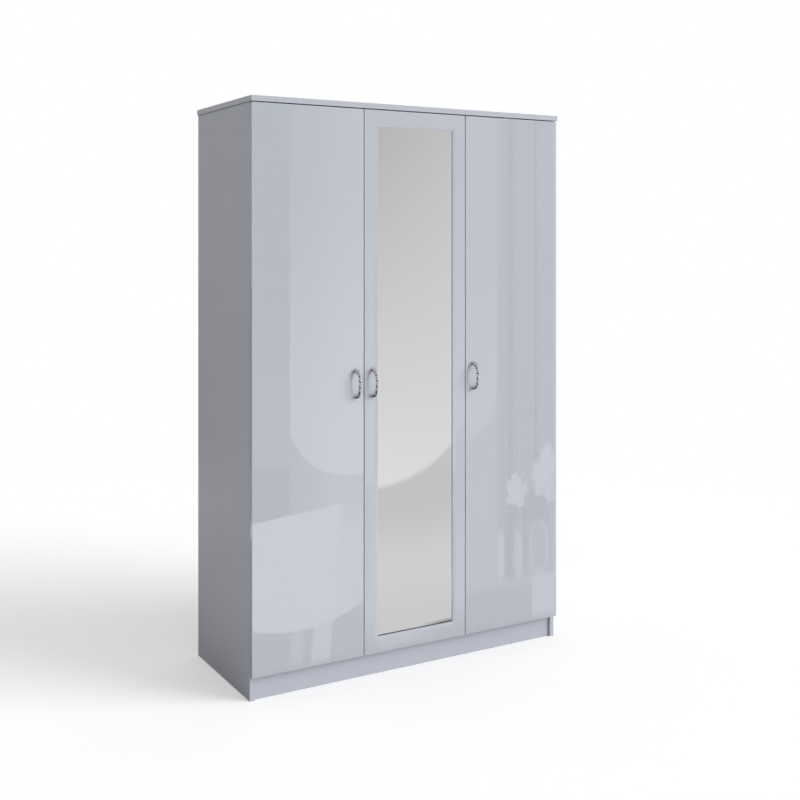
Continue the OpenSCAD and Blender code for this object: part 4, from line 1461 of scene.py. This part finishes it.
@dataclass(frozen=True)
class LeftDoorRoom:
    """What the left door shows: a wall over a hanging curve, a dim strip by the hinges, and a chair."""

    wall: Fade = Fade(0.75, 1.75, 1.26, 0.56)
    wall_across: Fade = Fade(-0.47, -0.22, -0.2, 0.14)
    curve: Curve = Curve(-0.2475, 0.915, 0.2365, 0.005)
    floor: Fade = Fade(-0.46, -0.25, 0.44, 0.86)
    strip_side: Fade = Fade(-0.470, -0.465)
    strip_wall: Fade = Fade(0.78, 1.4, 0.36, 0.10)
    strip_floor: float = 0.06
    strip_foot: Fade = Fade(0.725, 0.735)
    strip_reach: Fade = fall(-0.47, -0.466)
    chair_top: Fade = fall(0.610, 0.616)
    chair_tilt: float = 0.09
    chair_side: float = -0.28
    chair_soft: float = 0.003
    chair_level: float = 1.28
    beside_top: Fade = fall(0.50, 0.58)
    beside_level: float = 1.16
    seat_u: float = -0.44
    seat_w: float = 0.2
    seat_edge: Fade = fall(-0.004, 0.004)
    shade: Fade = Fade(-0.5, -0.3, 0.2, 0.3)
    gaps: tuple[LegGap, ...] = (LegGap(-0.468, -0.418, 0.05, 0.62), LegGap(-0.392, -0.318, 0.1, 0.98))
    gap_foot: float = 0.15
    gap_soft: float = 0.006

    def level(self, graph: RoomGraph) -> Socket:
        """Wall and floor, parted by the curve, with the dim strip and the chair in front.

        Args:
            graph: The room's graph.

        Returns:
            The level.
        """
        side = graph.across(self.strip_side)
        wall = graph.add(graph.up(self.wall), graph.across(self.wall_across))
        wall = graph.lerp(side, graph.up(self.strip_wall), wall)
        floor = graph.lerp(side, self.strip_floor, graph.across(self.floor))
        strip = graph.times(graph.up(self.strip_foot), graph.across(self.strip_reach))
        value = graph.lerp(graph.math("MAXIMUM", graph.above(self.curve), strip), floor, wall)
        side = Fade(self.chair_side - self.chair_soft, self.chair_side + self.chair_soft)
        top = graph.ramp(graph.times_plus(graph.u, -self.chair_tilt, graph.w), self.chair_top)
        chair = graph.times(top, graph.across(fall(side.start, side.end)))
        value = graph.lerp(chair, value, self.chair_level)
        beside = graph.times(graph.up(self.beside_top), graph.across(side))
        value = graph.lerp(beside, value, self.beside_level)
        bend = graph.math("POWER", graph.minus(graph.u, self.seat_u), 2.0)
        under = graph.ramp(graph.minus(graph.w, graph.add(bend, self.seat_w)), self.seat_edge)
        return graph.lerp(under, value, self.legs(graph))

    def legs(self, graph: RoomGraph) -> Socket:
        """The shade under the seat, with pale gaps between the legs.

        Args:
            graph: The room's graph.

        Returns:
            The level.
        """
        value = graph.across(self.shade)
        for gap in self.gaps:
            slid = graph.times_plus(graph.minus(graph.w, self.gap_foot), -gap.lean, graph.u)
            from_left = graph.ramp(slid, Fade(gap.left, gap.left + self.gap_soft))
            to_right = graph.ramp(slid, fall(gap.right - self.gap_soft, gap.right))
            value = graph.lerp(graph.times(from_left, to_right), value, gap.level)
        return value


@dataclass(frozen=True)
class FrameRoom:
    """What the frame round the mirror shows: a wall over a hanging curve, and a dim foot."""

    wall: Fade = Fade(0.7, 1.75, 1.0, 0.56)
    curve: Curve = Curve(-0.162, 1.083, 0.447, 0.008)
    floor: Fade = Fade(0.3, 0.6, 0.84, 0.6)
    foot: Fade = fall(0.10, 0.22)
    foot_level: float = 0.3

    def level(self, graph: RoomGraph) -> Socket:
        """Level of the wall and the floor, parted by the curve, over the foot."""
        value = graph.lerp(graph.above(self.curve), graph.up(self.floor), graph.up(self.wall))
        return graph.lerp(graph.up(self.foot), value, self.foot_level)


@dataclass(frozen=True)
class RightDoorRoom:
    """What the right door shows: a wall over a hanging curve, a curtain, and flowers on a table."""

    wall: Fade = Fade(0.8, 1.5, 0.94, 0.62)
    curve: Curve = Curve(0.150, 0.93, 0.183, 0.007)
    floor: float = 0.62
    curtain: float = 0.36
    curtain_side: Fade = Fade(0.331, 0.336)
    pleat_scale: float = 70.0
    pleat_depth: float = 0.5
    folds: tuple[Fold, ...] = (
        Fold(0.390, 0.020, 0.34), Fold(0.362, 0.008, 0.1), Fold(0.502, 0.011, 0.32), Fold(0.455, 0.004, 0.12),
    )
    fold_core: float = 0.3
    pale_side: Fade = Fade(0.583, 0.589)
    pale_level: float = 0.9
    gaps: tuple[Blob, ...] = (
        Blob(0.384, 0.38, 0.019, 0.14, 0.05, 0.3), Blob(0.458, 0.36, 0.014, 0.13, 0.12, 0.3),
        Blob(0.510, 0.49, 0.075, 0.065, 0.06, 1.0), Blob(0.402, 0.47, 0.030, 0.045, 0.1, 0.8),
    )
    bottles: tuple[Blob, ...] = (
        Blob(0.349, 0.33, 0.018, 0.105, 0.95, 0.25), Blob(0.425, 0.325, 0.021, 0.095, 0.82, 0.25),
        Blob(0.519, 0.34, 0.046, 0.105, 0.85, 0.1), Blob(0.517, 0.345, 0.036, 0.095, 0.3, 0.2),
    )
    flowers: tuple[Blob, ...] = (
        Blob(0.416, 0.553, 0.046, 0.062, 1.15, 1.5), Blob(0.523, 0.590, 0.036, 0.072, 1.1, 1.5),
        Blob(0.556, 0.640, 0.034, 0.078, 1.15, 1.5), Blob(0.566, 0.550, 0.030, 0.056, 1.0, 1.5),
    )
    fray_scale: float = 62.0
    fray_squash: float = 0.6
    fray_depth: float = 2.2
    fray_roughness: float = 0.6
    blob_edge: Fade = Fade(0.78, 0.95, 0.92, 0.0)
    table_top: Fade = fall(0.238, 0.246)
    table_edge: Fade = Fade(0.213, 0.220)
    table_level: float = 0.58
    table_shade: Fade = Fade(0.4, 0.6, 0.22, 0.38)
    table_side: Fade = Fade(0.482, 0.488)
    table_beside: float = 0.92

    def level(self, graph: RoomGraph) -> Socket:
        """Wall and floor, then the curtain, the bouquet in front of it, and the table under it.

        Args:
            graph: The room's graph.

        Returns:
            The level.
        """
        pleats = graph.noise(graph.join(graph.u, 0.0, 0.0), self.pleat_scale, 1.0)
        curtain = graph.times_plus(graph.minus(pleats, 0.5), self.pleat_depth, self.curtain)
        for fold in self.folds:
            off = graph.math("ABSOLUTE", graph.minus(graph.u, fold.u))
            edge = Fade(self.fold_core * fold.half, fold.half, fold.drop, 0.0)
            curtain = graph.minus(curtain, graph.ramp(off, edge))
        curtain = graph.lerp(graph.across(self.pale_side), curtain, self.pale_level)
        wall = graph.lerp(graph.above(self.curve), self.floor, graph.up(self.wall))
        value = self.bouquet(graph, graph.lerp(graph.across(self.curtain_side), wall, curtain))
        table = graph.lerp(graph.up(self.table_edge), graph.ramp(pleats, self.table_shade), self.table_level)
        table = graph.lerp(graph.across(self.table_side), table, self.table_beside)
        return graph.lerp(graph.up(self.table_top), value, table)

    def bouquet(self, graph: RoomGraph, value: Socket) -> Socket:
        """Pale flowers over a jar and two bottles, with dark gaps behind them; noise frays the edges.

        An oval reaches to where the squares of the distances over its half sizes sum to one, plus the noise.

        Args:
            graph: The room's graph.
            value: What is behind.

        Returns:
            The joined level.
        """
        spot = graph.join(graph.u, graph.times(graph.w, self.fray_squash), 0.0)
        noise = graph.minus(graph.noise(spot, self.fray_scale, roughness=self.fray_roughness), 0.5)
        for blob in self.gaps + self.bottles + self.flowers:
            across = graph.math("DIVIDE", graph.minus(graph.u, blob.u), blob.half_u)
            up = graph.math("DIVIDE", graph.minus(graph.w, blob.w), blob.half_w)
            reach = graph.times_plus(noise, self.fray_depth * blob.fray, graph.squares(across, up))
            value = graph.lerp(graph.ramp(reach, self.blob_edge), value, blob.level)
        return value


@dataclass(frozen=True)
class MirrorRoom:
    """What the mirror shows: a wall that brightens down to a hanging curve, and a duller floor."""

    wall: float = 0.795
    wall_w: float = 0.74
    wall_fall: float = 0.203
    tilt: float = 0.27
    tilt_w: float = 0.9
    curve: Curve = Curve(-0.162, 1.083, 0.459, 0.012)
    floor: Fade = Fade(0.36, 0.56, 0.712, 0.626)
    floor_dip: Fade = Fade(0.10, 0.34, 0.04, 0.0)
    foot: Fade = fall(0.132, 0.148)
    foot_shade: Fade = Fade(0.0, 0.13, 0.0, 0.42)

    def level(self, graph: RoomGraph) -> Socket:
        """Wall and floor, parted by the curve, with a shade along the foot.

        Args:
            graph: The room's graph.

        Returns:
            The level.
        """
        tilt = graph.times(graph.minus(graph.w, self.tilt_w), self.tilt)
        upright = graph.times_plus(graph.w, -self.wall_fall, self.wall + self.wall_fall * self.wall_w)
        wall = graph.times_plus(graph.u, tilt, upright)
        floor = graph.minus(graph.up(self.floor), graph.up(self.floor_dip))
        shade = graph.times(graph.up(self.foot), graph.across(self.foot_shade))
        return graph.lerp(graph.above(self.curve), graph.minus(floor, shade), wall)


@dataclass(frozen=True)
class Room:
    """The room that the gloss and the mirror show.

    All its shapes are given in the metres of the front, and all its levels as the brightness that the front
    reflects.
    """

    view: Viewpoint
    front: float
    pane_half: float = 0.147
    frame_half: float = 0.199
    name: str = "room"

    def group(self) -> bpy.types.NodeTree:
        """Builds the node group, once: the doors and the frame side by side, with the mirror among them.

        Returns:
            A group without inputs whose output is the brightness at a point.
        """
        ready = bpy.data.node_groups.get(self.name)
        if ready:
            return ready
        graph = RoomGraph(self.name, self.view, self.front)
        before_frame = graph.math("LESS_THAN", graph.u, -self.frame_half)
        to_frame = graph.math("LESS_THAN", graph.u, self.frame_half)
        inside = graph.math("LESS_THAN", graph.math("ABSOLUTE", graph.u), self.pane_half)
        value = graph.lerp(to_frame, RightDoorRoom().level(graph), FrameRoom().level(graph))
        value = graph.lerp(before_frame, value, LeftDoorRoom().level(graph))
        return graph.finish(graph.lerp(inside, value, MirrorRoom().level(graph)))

    def brightness(self, graph: Graph) -> Socket:
        """Places the room's group in a material."""
        return graph.node("Group", node_tree=self.group()).outputs[0]


# ---- studio ----


@dataclass(frozen=True)
class Zone:
    """A part of the reflected world: past a soft edge along one axis, and its level."""

    axis: str
    edge: Fade
    level: float


@dataclass(frozen=True)
class Strip:
    """A bright upright strip of the reflected world: its place across, its half width and its level."""

    at: float
    half: float
    level: float


BLACK, WHITE = (0.0, 0.0, 0.0, 1.0), (1.0, 1.0, 1.0, 1.0)


def grey(level: float) -> tuple[float, ...]:
    """A grey of full cover."""
    return (level, level, level, 1.0)


@dataclass
class Sky:
    """The world: white to the camera, a soft grey for light, and light and dark zones for reflections."""

    surround: float = 0.5
    warm: Triple = (1.03, 1.0, 0.955)
    even: Triple = (1.0, 1.0, 1.01)
    warm_to: Fade = Fade(-0.9, 0.2)
    horizon: float = 0.335
    zenith: float = 1.2
    dark_level: float = 0.07
    zones: tuple[Zone, ...] = (
        Zone("X", Fade(-0.53, -0.49), 0.6), Zone("X", Fade(0.93, 0.96), 0.12),
        Zone("Y", Fade(-0.1, 0.2), 0.42), Zone("Z", Fade(0.5, 0.7), 0.5),
    )
    strips: tuple[Strip, ...] = (Strip(-0.38, 0.09, 2.4), Strip(0.85, 0.045, 1.9))
    strip_soft: float = 0.01
    strip_top: Fade = fall(0.4, 0.5)
    high_warmth: Fade = Fade(0.3, 0.6, 1.0, 0.9)

    def light(self, graph: Graph, way: Sockets) -> Socket:
        """The grey that lights the scene: warmer to one side, brighter upwards.

        Args:
            graph: The world's graph.
            way: X, Y and Z of the direction.

        Returns:
            The colour.
        """
        warm, even = ((*(self.surround * value for value in tint), 1.0) for tint in (self.warm, self.even))
        colour = graph.blend(graph.ramp(way["X"], self.warm_to), warm, even)
        height = graph.math("MAXIMUM", way["Z"], 0.0)
        return graph.scale(colour, graph.times_plus(height, self.zenith, self.horizon))

    def reflected(self, graph: Graph, way: Sockets) -> Socket:
        """The zones and strips that chrome and gloss show.

        Args:
            graph: The world's graph.
            way: X, Y and Z of the direction.

        Returns:
            The colour.
        """
        value = self.dark_level
        for zone in self.zones:
            value = graph.lerp(graph.ramp(way[zone.axis], zone.edge), value, zone.level)
        for strip in self.strips:
            off = graph.math("ABSOLUTE", graph.minus(way["X"], strip.at))
            side = graph.ramp(off, fall(strip.half, strip.half + self.strip_soft))
            mask = graph.times(side, graph.ramp(way["Z"], self.strip_top))
            mask = graph.times(mask, graph.math("LESS_THAN", way["Y"], 0.0))
            value = graph.lerp(mask, value, strip.level)
        return graph.join(value, value, graph.times(value, graph.ramp(way["Z"], self.high_warmth)))

    def build(self) -> None:
        """Sets the world."""
        world = bpy.data.worlds.new("studio")
        bpy.context.scene.world = world
        world.use_nodes = True
        graph = Graph(world.node_tree)
        way = graph.split(graph.node("TexCoord").outputs["Generated"])
        rays = graph.node("LightPath").outputs
        light = world.node_tree.nodes["Background"]
        seen = graph.blend(rays["Is Glossy Ray"], self.light(graph, way), self.reflected(graph, way))
        graph.feed(light, {"Color": seen})
        white = graph.node("Background", {"Color": WHITE, "Strength": 1.0})
        mixed = graph.node("MixShader", {0: rays["Is Camera Ray"], 1: light.outputs[0], 2: white.outputs[0]})
        graph.feed(world.node_tree.nodes["World Output"], {"Surface": mixed.outputs[0]})


@dataclass
class Floor:
    """The floor: near white with soft shadows to the camera, grey to light, and the room to reflections."""

    room: Room
    reach: float = 30.0
    seen: float = 0.86
    unseen: float = 0.8
    glow: float = 0.253
    roughness: float = 0.9
    fade: Fade = Fade(2.0, 3.5)
    under_front: Fade = Fade(-0.48, -0.42, 1.0, 0.12)
    beside: Fade = Fade(0.6, 0.9)

    def build(self) -> None:
        """Lays the floor."""
        material = bpy.data.materials.new("pale floor")
        material.use_nodes = True
        graph = Graph(material.node_tree)
        rays, point = graph.node("LightPath").outputs, graph.split(graph.place())
        camera_ray, glossy_ray = rays["Is Camera Ray"], rays["Is Glossy Ray"]
        away = graph.node("VectorMath", {0: graph.place()}, operation="LENGTH").outputs["Value"]
        far = graph.ramp(away, self.fade)
        colour = graph.blend(camera_ray, grey(self.unseen), graph.blend(far, grey(self.seen), BLACK))
        glow = graph.times(camera_ray, graph.lerp(far, self.glow, 1.0))
        beside = graph.ramp(graph.math("ABSOLUTE", point["X"]), self.beside)
        shown = graph.math("MAXIMUM", graph.ramp(point["Y"], self.under_front), beside)
        shown = graph.times(self.room.brightness(graph), shown)
        sockets = {
            "Roughness": self.roughness,
            "Specular IOR Level": 0.0,
            "Base Color": graph.blend(glossy_ray, colour, BLACK),
            "Emission Color": WHITE,
            "Emission Strength": graph.times_plus(glossy_ray, shown, glow),
        }
        graph.feed(material.node_tree.nodes["Principled BSDF"], sockets)
        surface = Surface("floor")
        surface.face(self.reach * np.array([[-1, -1, 0], [1, -1, 0], [1, 1, 0], [-1, 1, 0]]), UP)
        surface.build([material])


@dataclass
class RoomCard:
    """The wall of the room, which only reflections see."""

    room: Room
    y: float = -3.0
    left: float = 0.3
    right: float = 3.0
    top: float = 4.0

    def build(self) -> None:
        """Hangs the card."""
        material = bpy.data.materials.new("room card")
        material.use_nodes = True
        graph = Graph(material.node_tree)
        glow = graph.node("Emission", {"Strength": self.room.brightness(graph)})
        clear, rays = graph.node("BsdfTransparent"), graph.node("LightPath").outputs
        mixed = graph.node("MixShader", {0: rays["Is Glossy Ray"], 1: clear.outputs[0], 2: glow.outputs[0]})
        graph.feed(material.node_tree.nodes["Material Output"], {"Surface": mixed.outputs[0]})
        surface = Surface("room_card")
        outline = ((self.left, 0.0), (self.right, 0.0), (self.right, self.top), (self.left, self.top))
        surface.face(np.array([(x, self.y, z) for x, z in outline]), BACK)
        card = surface.build([material])
        card.visible_camera = card.visible_diffuse = card.visible_shadow = card.visible_transmission = False


@dataclass(frozen=True)
class Lamp:
    """A distant, soft lamp at the front right: its strength, and its degrees above the horizon."""

    name: str
    energy: float
    height: float
    angle: float = 0.7
    azimuth: float = 48.0

    def build(self) -> None:
        """Hangs the lamp, which reflections don't see."""
        data = bpy.data.lights.new(self.name, "SUN")
        data.energy, data.angle, data.color = self.energy, self.angle, (1.0, 1.0, 1.0)
        lamp = bpy.data.objects.new(self.name, data)
        lamp.visible_glossy = False
        lamp.rotation_euler = (math.radians(90 - self.height), 0.0, math.radians(self.azimuth))
        bpy.context.scene.collection.objects.link(lamp)


@dataclass
class Studio:
    """Pale floor, soft lamps, the world, the room's reflection and the camera."""

    view: Viewpoint
    front: float
    sensor: float = 36.0
    clip: tuple[float, float] = (0.05, 100.0)
    lamps: tuple[Lamp, ...] = (Lamp("key", 1.6, 30.0), Lamp("fill", 1.25, 7.0))

    def camera(self) -> None:
        """Sets the camera."""
        data = bpy.data.cameras.new("camera")
        data.lens, data.sensor_width, data.shift_y = self.view.lens, self.sensor, self.view.shift
        data.clip_start, data.clip_end = self.clip
        camera = bpy.data.objects.new("camera", data)
        camera.location = (self.view.x, self.view.y, self.view.z)
        camera.rotation_euler = (math.radians(90), 0.0, math.radians(self.view.turn))
        bpy.context.scene.collection.objects.link(camera)
        bpy.context.scene.camera = camera

    def build(self) -> None:
        """Builds the studio."""
        room = Room(self.view, self.front)
        self.camera()
        Sky().build()
        Floor(room).build()
        RoomCard(room).build()
        for lamp in self.lamps:
            lamp.build()
        bpy.context.scene.view_settings.view_transform = "Standard"


def main() -> None:
    """Builds the looks around the frame."""
    logging.basicConfig(level=logging.INFO, format="%(message)s")
    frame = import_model()
    front = float(corners_of("left_door_panel")[0][Y_AXIS])
    Studio(Viewpoint(), front).build()
    CarriedNodes(frame["nodes"]).build()
    BandedBoards().build()
    for hand in (Hand.LEFT, Hand.RIGHT):
        PlainDoor(hand).build()
    MirrorFrame().build()
    MirrorPane().build()
    for hand in Hand:
        TwistedHandle(hand).build()


if __name__ == "__main__":
    main()
